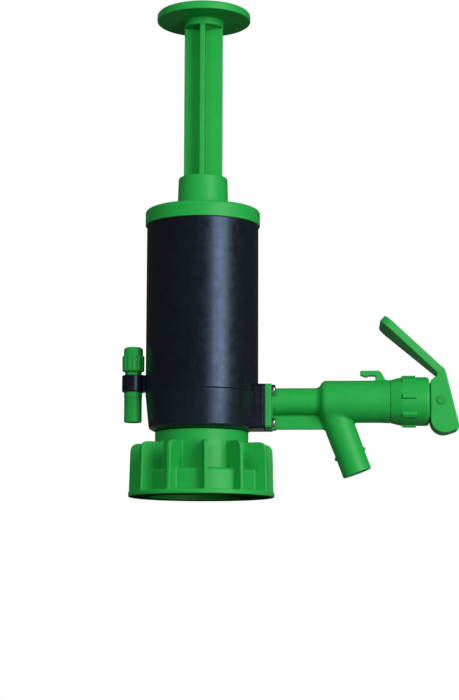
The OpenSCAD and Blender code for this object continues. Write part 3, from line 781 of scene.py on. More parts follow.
class Graph(NodeMaker):
    """The node tree of a material or of the surroundings."""

    def __init__(self, owner: bpy.types.Material | bpy.types.World) -> None:
        """Empties the owner's node tree.

        Args:
            owner: The material or the surroundings.
        """
        owner.use_nodes = True
        owner.node_tree.nodes.clear()
        super().__init__(owner.node_tree, "ShaderNode")
        self.owner = owner

    def noise(self, vector: bpy.types.NodeSocket, scale: float, detail: float) -> bpy.types.NodeSocket:
        """Returns the value of a noise texture."""
        return self.add("TexNoise", Vector=vector, Scale=scale, Detail=detail).outputs["Fac"]

    def ramp(self, value: bpy.types.NodeSocket, start: float, end: float, low: float,
             high: float) -> bpy.types.NodeSocket:
        """Returns a value mapped from one range to another, with clamped ends."""
        node = self.add("MapRange", Value=value, From_Min=start, From_Max=end, To_Min=low, To_Max=high)
        return node.outputs["Result"]

    def mix(self, share: object, first: object, second: object) -> bpy.types.NodeSocket:
        """Mixes two colours.

        Args:
            share: Share of the second.
            first: The first colour.
            second: The second colour.

        Returns:
            The mixed colour.
        """
        node = self.add("Mix", data_type="RGBA")
        for name, value in (("Factor_Float", share), ("A_Color", first), ("B_Color", second)):
            self.put(next(s for s in node.inputs if s.identifier == name), value)
        return next(s for s in node.outputs if s.identifier == "Result_Color")

    def edges(self) -> bpy.types.NodeSocket:
        """Returns the mesh's edge attribute."""
        return self.add("Attribute", attribute_name=EDGE).outputs["Fac"]

    def at(self) -> bpy.types.NodeSocket:
        """Returns the object coordinates."""
        return self.add("TexCoord").outputs["Object"]

    def stretched(self, scale: Corner, detail: float) -> bpy.types.NodeSocket:
        """Returns the value of a noise texture with its own scale along each axis."""
        vector = self.add("Mapping", Vector=self.at(), Scale=scale).outputs["Vector"]
        return self.noise(vector, 1.0, detail)

    def finish(self, shader: bpy.types.NodeSocket) -> bpy.types.Material | bpy.types.World:
        """Links the shader to the output.

        Args:
            shader: The shader.

        Returns:
            The owner, with its tree complete.
        """
        kind = "OutputWorld" if isinstance(self.owner, bpy.types.World) else "OutputMaterial"
        self.add(kind, Surface=shader)
        return self.owner


def opaque(colour: Colour, factor: float = 1.0) -> tuple[float, float, float, float]:
    """Returns a colour times a factor, with full opacity."""
    return (colour[0] * factor, colour[1] * factor, colour[2] * factor, 1.0)


@dataclass(frozen=True)
class Finish:
    """A finish: how a slot's material is made. Its roughness is that of the smoothest and roughest spots."""

    name: str
    slot: Slot
    colour: Colour
    roughness: Point2

    def make(self) -> bpy.types.Material:
        """Builds the material."""
        raise NotImplementedError

    def material(self) -> bpy.types.Material:
        """Returns the material, made on first use."""
        return bpy.data.materials.get(self.name) or self.make()


@dataclass(frozen=True)
class Moulded(Finish):
    """Moulded plastic: slow colour drift, fine grain, pale edges that are partly wear and partly a painted
    highlight, and painted shade in creases.

    Noise is given as scale and detail, or as a scale along each axis with its detail apart.
    """

    pale: Colour = PURE
    drift: float = 0.08
    specks: Point2 = (0.45, 0.75)
    slow: Point2 = (16.0, 2.0)
    mottle: Point2 = (210.0, 4.0)
    fine: Point2 = (2300.0, 2.0)
    fine_share: float = 0.5
    grain: float = 0.06
    grain_depth: float = 0.0004
    # Strength of the pale edges, partly wear and partly painted highlight, and how patchy they are
    wear_and_sheen: float = 0.12
    wear_and_sheen_patches: Point2 = (0.3, 0.6)
    wear_and_sheen_least: float = 0.4
    # Strength and tone of the painted shade in creases
    crease_shade: float = 0.2
    crease_shade_tone: float = 0.35
    specular: float = 0.5
    tint: Colour = PURE
    streak_scale: Corner = (700.0, 700.0, 9.0)
    streak_detail: float = 3.0
    streak_tone: float = 0.0
    streak_rough: float = 0.0

    def make(self) -> bpy.types.Material:
        """Builds the material.

        Returns:
            A Principled material on object coordinates.
        """
        g = Graph(bpy.data.materials.new(self.name))
        at, edges, pale = g.at(), g.edges(), opaque(self.pale)
        slow, mottle, fine = (g.noise(at, *look) for look in (self.slow, self.mottle, self.fine))
        streak = g.stretched(self.streak_scale, self.streak_detail)
        tone = g.mix(slow, opaque(self.colour, 1 - self.drift), opaque(self.colour, 1 + self.drift))
        tone = g.mix(g.ramp(mottle, *self.specks, 0.0, self.drift), tone, pale)
        tone = g.mix(g.ramp(streak, *STREAKS, 0.0, self.streak_tone), tone, pale)
        # Pales convex edges in patches: partly wear, partly a painted highlight along the rims
        worn_and_lit = g.of("Math", g.ramp(edges, *WORN_LIT_RIMS, 0.0, self.wear_and_sheen),
                    g.ramp(mottle, *self.wear_and_sheen_patches, self.wear_and_sheen_least, 1.0), operation="MULTIPLY")
        tone = g.mix(worn_and_lit, tone, pale)
        # Painted shade: creases and recesses darken toward a darker copy of the colour
        tone = g.mix(g.ramp(edges, *SHADED_CREASES, self.crease_shade, 0.0), tone, opaque(self.colour, self.crease_shade_tone))
        rough = g.of("Math", g.ramp(mottle, *MIDDLE, *self.roughness),
                     g.ramp(streak, *WIDE_STREAKS, 0.0, self.streak_rough), operation="ADD")
        height = g.of("Math", g.ramp(fine, *WIDE, 0.0, self.fine_share), g.ramp(mottle, *WIDE, 0.0, 1.0),
                      operation="ADD")
        bump = g.add("Bump", Strength=self.grain, Distance=self.grain_depth, Height=height)
        shader = g.add("BsdfPrincipled", Base_Color=tone, Roughness=rough, Specular_IOR_Level=self.specular,
                       Specular_Tint=opaque(self.tint), Normal=bump.outputs["Normal"])
        return g.finish(shader.outputs["BSDF"])


@dataclass(frozen=True)
class Rubber(Finish):
    """Moulded rubber: matt, with a dusty bloom."""

    dust: Point2 = (120.0, 5.0)
    dust_span: Point2 = (0.45, 0.8)
    dust_most: float = 0.35
    dust_tone: float = 3.0
    fine: Point2 = (1800.0, 2.0)
    grain: float = 0.15
    grain_depth: float = 0.0003
    specular: float = 0.3

    def make(self) -> bpy.types.Material:
        """Builds the material.

        Returns:
            A Principled material on object coordinates.
        """
        g = Graph(bpy.data.materials.new(self.name))
        at = g.at()
        dust, fine = g.noise(at, *self.dust), g.noise(at, *self.fine)
        tone = g.mix(g.ramp(dust, *self.dust_span, 0.0, self.dust_most), opaque(self.colour),
                     opaque(self.colour, self.dust_tone))
        bump = g.add("Bump", Strength=self.grain, Distance=self.grain_depth, Height=fine)
        rough = g.ramp(dust, *MIDDLE, *self.roughness)
        shader = g.add("BsdfPrincipled", Base_Color=tone, Roughness=rough, Specular_IOR_Level=self.specular,
                       Normal=bump.outputs["Normal"])
        return g.finish(shader.outputs["BSDF"])


@dataclass(frozen=True)
class Plated(Finish):
    """Plated steel: a mirror with faint clouds and fine scratches, and painted shade in its creases."""

    cloud: Point2 = (400.0, 3.0)
    cloud_span: Point2 = (0.3, 0.8)
    cloud_tone: float = 0.82
    scratch_scale: Corner = (4000.0, 300.0, 4000.0)
    scratch_detail: float = 2.0
    # Strength and tone of the painted shade in creases
    crease_shade: float = 0.7
    crease_shade_tone: float = 0.15
    grain: float = 0.05
    grain_depth: float = 0.0001

    def make(self) -> bpy.types.Material:
        """Builds the material.

        Returns:
            A Principled metal on object coordinates.
        """
        g = Graph(bpy.data.materials.new(self.name))
        cloud, scratch = g.noise(g.at(), *self.cloud), g.stretched(self.scratch_scale, self.scratch_detail)
        tone = g.mix(g.ramp(cloud, *self.cloud_span, 0.0, 1.0), opaque(self.colour),
                     opaque(self.colour, self.cloud_tone))
        # Painted shade in creases and recesses, such as the screws' cross slots
        crease_shade_colour = opaque(self.colour, self.crease_shade_tone)
        tone = g.mix(g.ramp(g.edges(), *SHADED_CREASES, self.crease_shade, 0.0), tone, crease_shade_colour)
        rough = g.ramp(scratch, *MIDDLE, *self.roughness)
        bump = g.add("Bump", Strength=self.grain, Distance=self.grain_depth, Height=scratch)
        shader = g.add("BsdfPrincipled", Base_Color=tone, Metallic=1.0, Roughness=rough,
                       Normal=bump.outputs["Normal"])
        return g.finish(shader.outputs["BSDF"])


GREEN = Moulded("moulded_green", Slot.GREEN, (0.014, 0.385, 0.058), (0.41, 0.52), pale=(0.09, 0.5, 0.12),
                drift=0.07, grain=0.05, wear_and_sheen=0.2, specular=0.3)
BLACK = Moulded("moulded_black", Slot.BLACK, (0.006, 0.0078, 0.0115), (0.25, 0.36), pale=(0.02, 0.026, 0.034),
                drift=0.12, grain=0.03, wear_and_sheen=0.3, specular=0.68, tint=(0.47, 0.66, 1.0), streak_tone=0.04,
                streak_rough=0.08)
WHITE = Moulded("moulded_white", Slot.WHITE, (0.7, 0.7, 0.66), (0.45, 0.56), pale=(0.85, 0.85, 0.82))
RUBBER = Rubber("black_rubber", Slot.RUBBER, (0.008, 0.008, 0.0085), (0.62, 0.74))
STEEL = Plated("plated_steel", Slot.STEEL, (0.5, 0.5, 0.52), (0.16, 0.32))


class GroupMaker(NodeMaker):
    """A Geometry Nodes group."""

    def __init__(self, name: str) -> None:
        """Makes an empty group with a geometry output.

        Args:
            name: The group's name.
        """
        super().__init__(bpy.data.node_groups.new(name, "GeometryNodeTree"))
        self.tree.is_modifier = True
        self.inlet = self.tree.nodes.new("NodeGroupInput")
        self.outlet = self.tree.nodes.new("NodeGroupOutput")
        self.tree.interface.new_socket("Geometry", in_out="OUTPUT", socket_type="NodeSocketGeometry")

    def ask(self, name: str, kind: str) -> bpy.types.NodeSocket:
        """Adds an input of that kind and returns its socket."""
        self.tree.interface.new_socket(name, in_out="INPUT", socket_type="NodeSocket" + kind)
        return self.inlet.outputs[name]

    def math(self, operation: str, first: object, second: object) -> bpy.types.NodeSocket:
        """Returns the result of a Math node."""
        return self.of("ShaderNodeMath", first, second, operation=operation)

    def end(self, geometry: bpy.types.NodeSocket, material: bpy.types.NodeSocket) -> bpy.types.NodeTree:
        """Realizes instances and sets the material.

        Args:
            geometry: What the group has made.
            material: The material.

        Returns:
            The finished group.
        """
        real = self.add("GeometryNodeRealizeInstances", Geometry=geometry)
        done = self.add("GeometryNodeSetMaterial", Geometry=real.outputs[0], Material=material)
        self.tree.links.new(done.outputs[0], self.outlet.inputs[0])
        return self.tree


def ring_group() -> bpy.types.NodeTree:
    """Gives the group that repeats a piece about its z axis, made on first use.

    Returns:
        The group.
    """
    found = bpy.data.node_groups.get("ring_of")
    if found:
        return found
    g = GroupMaker("ring_of")
    piece, count = g.ask("Piece", "Geometry"), g.ask("Count", "Int")
    first, material = g.ask("First", "Float"), g.ask("Material", "Material")
    points = g.add("GeometryNodePoints", Count=count)
    step = g.math("DIVIDE", 2 * math.pi, count)
    index = g.add("GeometryNodeInputIndex").outputs[0]
    angle = g.math("ADD", g.math("MULTIPLY", index, step), first)
    turn = g.add("ShaderNodeCombineXYZ", Z=angle)
    copies = g.add("GeometryNodeInstanceOnPoints", Points=points.outputs[0], Instance=piece,
                   Rotation=turn.outputs[0])
    return g.end(copies.outputs[0], material)


def coil_group() -> bpy.types.NodeTree:
    """Gives the group that winds a round wire along z, made on first use.

    Returns:
        The group.
    """
    found = bpy.data.node_groups.get("coil_of")
    if found:
        return found
    g = GroupMaker("coil_of")
    names = (("Turns", "Float"), ("Radius", "Float"), ("Height", "Float"), ("Wire", "Float"),
             ("Start", "Vector"), ("Material", "Material"))
    asked = {name: g.ask(name, kind) for name, kind in names}
    path = g.add("GeometryNodeCurveSpiral", Resolution=COIL_STEPS, Rotations=asked["Turns"],
                 Start_Radius=asked["Radius"], End_Radius=asked["Radius"], Height=asked["Height"])
    moved = g.add("GeometryNodeTransform", Geometry=path.outputs[0], Translation=asked["Start"])
    wire = g.add("GeometryNodeCurvePrimitiveCircle", Resolution=WIRE_STEPS, Radius=asked["Wire"])
    tube = g.add("GeometryNodeCurveToMesh", Curve=moved.outputs[0], Profile_Curve=wire.outputs[0],
                 Fill_Caps=True)
    return g.end(tube.outputs[0], asked["Material"])


def from_group(name: str, group: bpy.types.NodeTree, values: dict[str, object], place: Place,
               mesh: bpy.types.Mesh | None = None) -> bpy.types.Mesh:
    """Runs a group once and keeps its result as a plain mesh.

    Args:
        name: Name of the mesh.
        group: The group.
        values: The group's inputs by name.
        place: Frame that the result is put in.
        mesh: The piece that the group repeats, in its own frame, or None.

    Returns:
        The mesh in metres.
    """
    holder = bpy.data.objects.new(name + "_source", mesh or bpy.data.meshes.new(name + "_source"))
    bpy.context.scene.collection.objects.link(holder)
    modifier = holder.modifiers.new("nodes", "NODES")
    modifier.node_group = group
    for item in group.interface.items_tree:
        if item.in_out == "INPUT" and item.name in values:
            modifier[item.identifier] = values[item.name]
    graph = bpy.context.evaluated_depsgraph_get()
    made = bpy.data.meshes.new_from_object(holder.evaluated_get(graph))
    made.name = name
    bpy.data.objects.remove(holder)
    turn = Matrix((place.x, place.y, place.z)).transposed().to_4x4()
    made.transform(Matrix.Translation(Vector(place.origin) * MM) @ turn)
    made.shade_smooth()
    made.set_sharp_from_angle(angle=math.radians(SHARP_COPIES))
    if EDGE not in made.attributes:
        mark_edges(made)
    return made


@dataclass
class SubAssembly:
    """A group of pieces that ride on one body."""

    body: Body = Body.PUMP
    made: list[str] = field(default_factory=list)

    def add(self, mesh: bpy.types.Mesh, finish: Finish, *nodes: str) -> bpy.types.Object:
        """Puts a finished mesh in the scene.

        Args:
            mesh: The mesh in metres, in the shared frame.
            finish: Its finish.
            nodes: CAD nodes that it stands for.

        Returns:
            The piece.
        """
        piece = bpy.data.objects.new(mesh.name, mesh)
        bpy.context.scene.collection.objects.link(piece)
        mesh.materials.clear()
        mesh.materials.append(finish.material())
        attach(piece, self.body.value)
        if nodes:
            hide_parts(*nodes)
        self.made.append(piece.name)
        return piece

    def field_piece(self, solid: Solid, name: str, finish: Finish, cell: float,
                    node: str) -> bpy.types.Object:
        """Meshes a solid inside a CAD node's box and adds it in that node's place."""
        low, high = (np.array(corner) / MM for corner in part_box(node))
        return self.add(solid.mesh(name, low, high, cell), finish, node)

    def paint(self, nodes: dict[str, bpy.types.Object], finish: Finish, *names: str) -> None:
        """Gives a finish to CAD nodes that are shown as they are.

        Args:
            nodes: The CAD nodes' objects.
            finish: The finish.
            names: Which nodes get it.
        """
        for name in names:
            nodes[name].data.materials.clear()
            nodes[name].data.materials.append(finish.material())
            self.made.append(name)

    def build(self) -> None:
        """Makes the sub-assembly's own pieces."""

    def dress(self, nodes: dict[str, bpy.types.Object]) -> None:
        """Gives finishes to the CAD nodes that the sub-assembly shows as they are."""


@dataclass(frozen=True)
class Layout:
    """Sizes and places in millimetres that several sub-assemblies share."""

    tap_z: float = 55.3
    outlet_x: float = 36.4
    outlet_z: float = 51.9
    outlet_half: float = 13.0
    outlet_corner: float = 2.5
    outlet_r: float = 5.0
    screw_half: float = 9.5
    screw_hole_r: float = 1.6
    seam_z: float = 60.6
    barrel_top: float = 159.3
    plug_r: float = 29.9
    vent_x: float = -40.3
    clip_low: float = 61.3
    clip_high: float = 71.0


SHARED = Layout()


def square_corners(half: float, r: float) -> list[Corner]:
    """Returns the corners of a rounded square about the origin, counter-clockwise."""
    return [(half, -half, r), (half, half, r), (-half, half, r), (-half, -half, r)]


def screw_frames(z: float, half: float) -> list[Place]:
    """Returns the frames of four screws along +X, on the corners of a square about height z."""
    return [along_x(z + rise).moved(0.0, y, 0.0) for y in (-half, half) for rise in (-half, half)]


@dataclass
class NeckNut(SubAssembly):
    """The winged nut, with the thread inside it."""

    body: Body = Body.NUT
    thread_r: float = 30.3
    thread_depth: float = 7.8
    relief_r: float = 30.8
    shoulder_z: float = 12.5
    bore_r: float = 24.3
    bore_edge: float = 0.4
    neck_r: float = 27.1
    neck_fillet: float = 1.0
    skirt_r: float = 34.5
    skirt_top: float = 15.0
    skirt_corner: float = 2.0
    height: float = 37.8
    top_edge: float = 0.6
    flange_r: float = 42.3
    flange_t: float = 2.6
    flange_edges: Point2 = (0.5, 0.7)
    flange_fillet: float = 0.9
    wings: int = 12
    first_wing: float = -82.3
    wing_half: float = 1.2
    wing_edge: float = 0.6
    wing_root_r: float = 25.1
    wing_foot_r: float = 42.0
    wing_foot_corner: float = 0.4
    wing_tip_r: float = 41.2
    wing_top: float = 30.8
    wing_corner: float = 4.5
    wing_fillet: float = 1.0
    ridge_r: float = 0.9
    ridge_pitch: float = 4.0
    ridge_start: float = 1.2
    cell: float = 0.68

    def solid(self) -> Solid:
        """Shapes the nut.

        Returns:
            The nut without its thread's ridges.
        """
        low_edge, high_edge = self.flange_edges
        shell = Solid.turned([(CORE, 0, 0), (self.flange_r, 0, low_edge),
                              (self.flange_r, self.flange_t, high_edge),
                              (self.skirt_r, self.flange_t, self.flange_fillet),
                              (self.skirt_r, self.skirt_top, self.skirt_corner),
                              (self.neck_r, self.skirt_top, self.neck_fillet),
                              (self.neck_r, self.height, self.top_edge), (CORE, self.height, 0)])
        wing = Solid.plate([(self.wing_root_r, 0, 0), (self.wing_foot_r, 0, self.wing_foot_corner),
                            (self.wing_tip_r, self.wing_top, self.wing_corner),
                            (self.wing_root_r, self.wing_top, 0)], self.wing_half, self.wing_edge, upright())
        nut = shell.join(wing.around(self.wings, self.first_wing), self.wing_fillet)
        nut = nut.within(Solid.cylinder(self.flange_r, 0.0, self.height, Place(), low_edge))
        bore = Solid.turned([(CORE, -PAST, 0), (self.thread_r, -PAST, 0),
                             (self.thread_r, self.thread_depth, 0), (self.relief_r, self.thread_depth, 0),
                             (self.relief_r, self.shoulder_z, 0),
                             (self.bore_r, self.shoulder_z, 0), (self.bore_r, self.height + PAST, 0),
                             (CORE, self.height + PAST, 0)])
        return nut.cut(bore, self.bore_edge)

    def build(self) -> None:
        """Makes the nut and its thread."""
        self.field_piece(self.solid(), "nut_shell", GREEN, self.cell, "winged_nut")
        turns = (self.thread_depth - 2 * self.ridge_start) / self.ridge_pitch
        ridge = from_group("nut_thread", coil_group(),
                           {"Turns": turns, "Radius": self.thread_r * MM, "Wire": self.ridge_r * MM,
                            "Height": turns * self.ridge_pitch * MM,
                            "Start": (0.0, 0.0, self.ridge_start * MM), "Material": GREEN.material()},
                           Place())
        self.add(ridge, GREEN)


@dataclass
class Base(SubAssembly):
    """The pump base with its outlet boss, and the seals of the neck."""

    foot_r: float = 27.8
    foot_z: float = 38.1
    foot_edge: float = 0.6
    flare: Corner = (30.8, 39.7, 1.0)
    seam_r: float = 32.95
    seam_z: float = SHARED.seam_z
    seam_edge: float = 0.5
    plug_r: float = SHARED.plug_r
    groove_r: float = 28.1
    grooves: tuple[Point2, Point2] = ((61.2, 63.4), (66.4, 68.6))
    floor_z: float = 69.0
    spigot_r: float = 24.0
    spigot_top: float = 38.6
    tail_r: float = 22.5
    tail_z: float = 10.0
    tail_top: float = 12.2
    tail_edge: float = 0.3
    tap_z: float = SHARED.tap_z
    boss_x: float = SHARED.outlet_x
    boss_z: float = SHARED.outlet_z
    boss_half: float = SHARED.outlet_half
    boss_corner: float = SHARED.outlet_corner
    boss_edge: float = 0.3
    boss_root_r: float = 28.0
    barrel_clear_r: float = 33.1
    throat_r: float = 21.0
    throat_top: float = 41.1
    hollow_r: float = 26.9
    hollow_z: Point2 = (43.1, 66.0)
    stand_r: float = 9.0
    stand_z: float = 28.0
    wall_edge: float = 0.6
    passage_r: float = SHARED.outlet_r
    passage_wall: float = 3.0
    tail_seat: Point2 = (6.3, 36.1)
    screw_half: float = SHARED.screw_half
    screw_hole_r: float = SHARED.screw_hole_r
    screw_hole_x: float = 33.7
    gasket_r: float = 29.6
    gasket_z: float = 8.0
    gasket_edges: Point2 = (0.3, 0.5)
    cell: float = 0.74
    boss_cell: float = 0.5

    def outside(self) -> Solid:
        """Shapes the base's round outer form.

        Returns:
            The form without its hollows.
        """
        outer, inner = self.plug_r, self.groove_r
        seals = [(r, z, 0.0) for low, high in self.grooves
                 for r, z in ((outer, low), (inner, low), (inner, high), (outer, high))]
        shell = Solid.turned([(CORE, self.foot_z, 0), (self.foot_r, self.foot_z, self.foot_edge), self.flare,
                              (self.seam_r, self.seam_z, self.seam_edge), (outer, self.seam_z, 0), *seals,
                              (outer, self.floor_z, 0), (CORE, self.floor_z, 0)])
        spigot = Solid.turned([(CORE, self.tail_z, 0), (self.tail_r, self.tail_z, self.tail_edge),
                               (self.tail_r, self.tail_top, 0),
                               (self.spigot_r, self.tail_top, self.tail_edge),
                               (self.spigot_r, self.spigot_top, 0), (CORE, self.spigot_top, 0)])
        return shell.join(spigot)

    def boss(self) -> Solid:
        """Shapes the outlet boss, from inside the base's wall outwards.

        Returns:
            The boss without its hollows.
        """
        block = Solid.plate(square_corners(self.boss_half, self.boss_corner), self.boss_x / 2, self.boss_edge,
                            across_x(self.boss_x / 2, self.boss_z))
        top = self.floor_z + PAST
        block = block.cut(Solid.cylinder(self.barrel_clear_r, self.seam_z, top))
        return block.cut(Solid.cylinder(self.boss_root_r, self.foot_z - PAST, top))

    def hollows(self) -> Solid:
        """Shapes what is hollow in the base.

        Returns:
            The hollow under the floor, the passages and the screw holes.
        """
        cone_top, roof = self.hollow_z
        start, end = self.tail_z - PAST, self.boss_x + PAST
        hollow = Solid.turned([(CORE, start, 0), (self.throat_r, start, 0),
                               (self.throat_r, self.throat_top, 0), (self.hollow_r, cone_top, 0),
                               (self.hollow_r, roof, 0), (CORE, roof, 0)])
        tap = along_x(self.tap_z)
        stand = Solid.cylinder(self.stand_r, self.stand_z, self.floor_z + PAST)
        sleeve = Solid.cylinder(self.passage_r + self.passage_wall, 0.0, end, tap)
        hollow = hollow.cut(stand, self.wall_edge).cut(sleeve, self.wall_edge)
        seat_r, seat_top = self.tail_seat
        low = self.stand_z - PAST
        ways = Solid.cylinder(self.passage_r, low, self.tap_z).join(Solid.cylinder(seat_r, low, seat_top))
        ways = ways.join(Solid.ball(self.passage_r, (0.0, 0.0, self.tap_z)))
        ways = ways.join(Solid.cylinder(self.passage_r, 0.0, end, tap))
        for place in screw_frames(self.boss_z, self.screw_half):
            ways = ways.join(Solid.cylinder(self.screw_hole_r, self.screw_hole_x, end, place))
        return hollow.join(ways)

    def build(self) -> None:
        """Makes the base and the neck's gasket."""
        hollows = self.hollows()
        self.field_piece(self.outside().cut(hollows), "base_shell", BLACK, self.cell, "pump_base")
        self.field_piece(self.boss().cut(hollows), "base_boss", BLACK, self.boss_cell, "pump_base")
        low, high = self.gasket_z, self.tail_z
        inner, outer = self.gasket_edges
        gasket = turned_mesh("neck_ring", [(self.tail_r, low, inner), (self.gasket_r, low, outer),
                                           (self.gasket_r, high, outer), (self.tail_r, high, inner)])
        self.add(gasket, RUBBER, "neck_gasket")

    def dress(self, nodes: dict[str, bpy.types.Object]) -> None:
        """Paints the neck flange, the suction tail and the rubber inside."""
        self.paint(nodes, BLACK, "neck_flange", "suction_tail")
        self.paint(nodes, RUBBER, "air_valve", "barrel_o_rings")


@dataclass
class Barrel(SubAssembly):
    """The barrel with the clip ring for the vent valve."""

    r: float = 32.8
    bore_r: float = 30.0
    low: float = SHARED.seam_z
    high: float = SHARED.barrel_top
    edges: Point2 = (0.2, 0.35)
    clip_x: float = SHARED.vent_x
    clip_r: float = 6.5
    clip_low: float = SHARED.clip_low
    clip_high: float = SHARED.clip_high
    clip_edge: float = 0.5
    clip_bore_r: float = 4.3
    clip_bore_edge: float = 0.3
    arm_half: float = 3.5
    arm_end: float = -31.5
    arm_fillet: float = 0.8
    cell: float = 0.36

    def build(self) -> None:
        """Makes the barrel's wall and its clip."""
        inner, outer = self.edges
        wall = turned_mesh("barrel_wall", [(self.bore_r, self.low, inner), (self.r, self.low, outer),
                                           (self.r, self.high, outer), (self.bore_r, self.high, inner)],
                           steps=FINE_STEPS)
        self.add(wall, BLACK, "barrel_tube")
        axis = Place((self.clip_x, 0.0, 0.0))
        clip = Solid.cylinder(self.clip_r, self.clip_low, self.clip_high, axis, self.clip_edge)
        arm = Solid.box((self.clip_x, -self.arm_half, self.clip_low),
                        (self.arm_end, self.arm_half, self.clip_high), Place(), self.clip_edge)
        bore = Solid.cylinder(self.clip_bore_r, self.clip_low - PAST, self.clip_high + PAST, axis)
        clip = clip.join(arm, self.arm_fillet).cut(bore, self.clip_bore_edge)
        low = (self.clip_x - self.clip_r, -self.clip_r, self.clip_low)
        high = (self.arm_end, self.clip_r, self.clip_high)
        self.add(clip.mesh("vent_clip", low, high, self.cell), BLACK, "barrel_tube")


@dataclass
class TopCap(SubAssembly):
    """The cap with its collar."""

    plug_r: float = SHARED.plug_r
    plug_low: float = 153.3
    plug_edge: float = 0.5
    hollow_r: float = 26.5
    hollow_edge: float = 0.3
    r: float = 33.75
    low: float = SHARED.barrel_top
    low_edge: float = 0.4
    roof: float = 164.4
    roof_corner: float = 1.0
    top: float = 168.5
    top_corner: float = 2.0
    collar_root_r: float = 15.05
    collar_fillet: float = 1.4
    collar_r: float = 14.4
    collar_top: float = 188.4
    collar_corner: float = 1.2
    bush_r: float = 13.1
    bush_z: float = 175.9
    bush_edge: float = 0.1
    way_r: float = 11.8
    way_edge: float = 0.4

    def build(self) -> None:
        """Makes the cap."""
        corners = [(self.hollow_r, self.plug_low, self.hollow_edge),
                   (self.plug_r, self.plug_low, self.plug_edge), (self.plug_r, self.low, 0),
                   (self.r, self.low, self.low_edge),
                   (self.r, self.top, self.top_corner), (self.collar_root_r, self.top, self.collar_fillet),
                   (self.collar_r, self.collar_top, self.collar_corner),
                   (self.bush_r, self.collar_top, self.bush_edge), (self.bush_r, self.bush_z, 0),
                   (self.way_r, self.bush_z, 0), (self.way_r, self.roof, self.way_edge),
                   (self.hollow_r, self.roof, self.roof_corner)]
        self.add(turned_mesh("cap_shell", corners, steps=FINE_STEPS), GREEN, "top_cap")

    def dress(self, nodes: dict[str, bpy.types.Object]) -> None:
        """Paints the guide bush."""
        self.paint(nodes, BLACK, "guide_bush")


@dataclass
class Plunger(SubAssembly):
    """The plunger: cross-ribbed rod, knob and piston."""

    body: Body = Body.PLUNGER
    half: float = 11.4
    rib: float = 1.5
    rib_edge: float = 0.5
    rib_fillet: float = 0.7
    rod_lap: float = 0.5
    rod_top: float = 280.0
    foot_r: float = 23.0
    foot_z: float = 149.3
    foot_top: float = 152.3
    foot_edge: float = 0.4
    screw_r: float = 1.8
    screw_boss_r: float = 4.5
    screw_boss_top: float = 166.3
    screw_boss_fillet: float = 0.8
    plug_r: float = 6.0
    plug_top: float = 286.0
    plug_edge: float = 0.4
    plug_fit: float = 0.1
    hub_r: float = 11.8
    hub_edge: float = 0.5
    hub_fillet: float = 1.2
    knob_r: float = 27.85
    knob_z: float = 284.0
    knob_edge: float = 0.7
    rim_top: float = 289.0
    rim_corner: float = 1.8
    dome_z: float = 289.75
    dome_r: float = 300.0
    knob_top: float = 290.0

    def build(self) -> None:
        """Makes the rod, its foot and plug, and the knob."""
        a, b, tip, root = self.half, self.rib, self.rib_edge, self.rib_fillet
        cross = [(a, -b, tip), (a, b, tip), (b, b, root), (b, a, tip), (-b, a, tip), (-b, b, root),
                 (-a, b, tip), (-a, -b, tip), (-b, -b, root), (-b, -a, tip), (b, -a, tip), (b, -b, root)]
        rod = prism_mesh("rod_cross", cross, self.foot_top - self.rod_lap, self.rod_top)
        self.add(rod, GREEN, "plunger_rod")
        foot = turned_mesh("rod_foot", [(self.screw_r, self.foot_z, 0),
                                        (self.foot_r, self.foot_z, self.foot_edge),
                                        (self.foot_r, self.foot_top, self.foot_edge),
                                        (self.screw_boss_r, self.foot_top, self.screw_boss_fillet),
                                        (self.screw_boss_r, self.screw_boss_top, self.foot_edge),
                                        (self.screw_r, self.screw_boss_top, 0)])
        self.add(foot, GREEN, "plunger_rod")
        low = self.rod_top - self.rod_lap
        plug = turned_mesh("rod_plug", [(0, low, 0), (self.plug_r, low, 0),
                                        (self.plug_r, self.plug_top, self.plug_edge), (0, self.plug_top, 0)],
                           ends=Ends.ON_AXIS)
        self.add(plug, GREEN, "plunger_rod")
        socket_r, socket_top = self.plug_r + self.plug_fit, self.plug_top + self.plug_fit
        knob = turned_mesh("knob_disc", [(0, socket_top, 0), (socket_r, socket_top, 0),
                                         (socket_r, self.rod_top, 0),
                                         (self.hub_r, self.rod_top, self.hub_edge),
                                         (self.hub_r, self.knob_z, self.hub_fillet),
                                         (self.knob_r, self.knob_z, self.knob_edge),
                                         (self.knob_r, self.rim_top, self.rim_corner),
                                         (self.knob_r / 2, self.dome_z, self.dome_r), (0, self.knob_top, 0)],
                           ends=Ends.ON_AXIS, steps=FINE_STEPS)
        self.add(knob, GREEN, "plunger_knob")

    def dress(self, nodes: dict[str, bpy.types.Object]) -> None:
        """Paints the piston."""
        self.paint(nodes, RUBBER, "piston_cup")
        self.paint(nodes, STEEL, "piston_washer", "piston_screw")


@dataclass(frozen=True)
class CrossScrew:
    """A cross-head screw along z, with a tapered tip."""

    seat: float
    r: float = 1.5
    tip: Point2 = (0.2, 33.8)
    taper_end: float = 35.3
    edge: float = 0.2
    head_r: float = 3.0
    head_t: float = 2.4
    dome: float = 1.1
    slot: Point2 = (1.7, 0.35)
    slot_t: float = 1.1
    slot_edges: Point2 = (0.1, 0.12)
    cell: float = 0.16

    def mesh(self) -> bpy.types.Mesh:
        """Meshes the screw, its head's underside at the seat.

        Returns:
            The mesh in metres.
        """
        top, reach, (tip_r, tip_z) = self.seat + self.head_t, self.head_r, self.tip
        screw = Solid.turned([(CORE, tip_z, 0), (tip_r, tip_z, 0), (self.r, self.taper_end, self.edge),
                              (self.r, self.seat, 0), (reach, self.seat, self.edge), (reach, top, self.dome),
                              (CORE, top, 0)])
        long, wide = self.slot
        inner, outer = self.slot_edges
        for u, v in ((long, wide), (wide, long)):
            slot = Solid.box((-u, -v, top - self.slot_t), (u, v, top + PAST), Place(), inner)
            screw = screw.cut(slot, outer)
        return screw.mesh("screw_one", (-reach, -reach, tip_z), (reach, reach, top), self.cell)


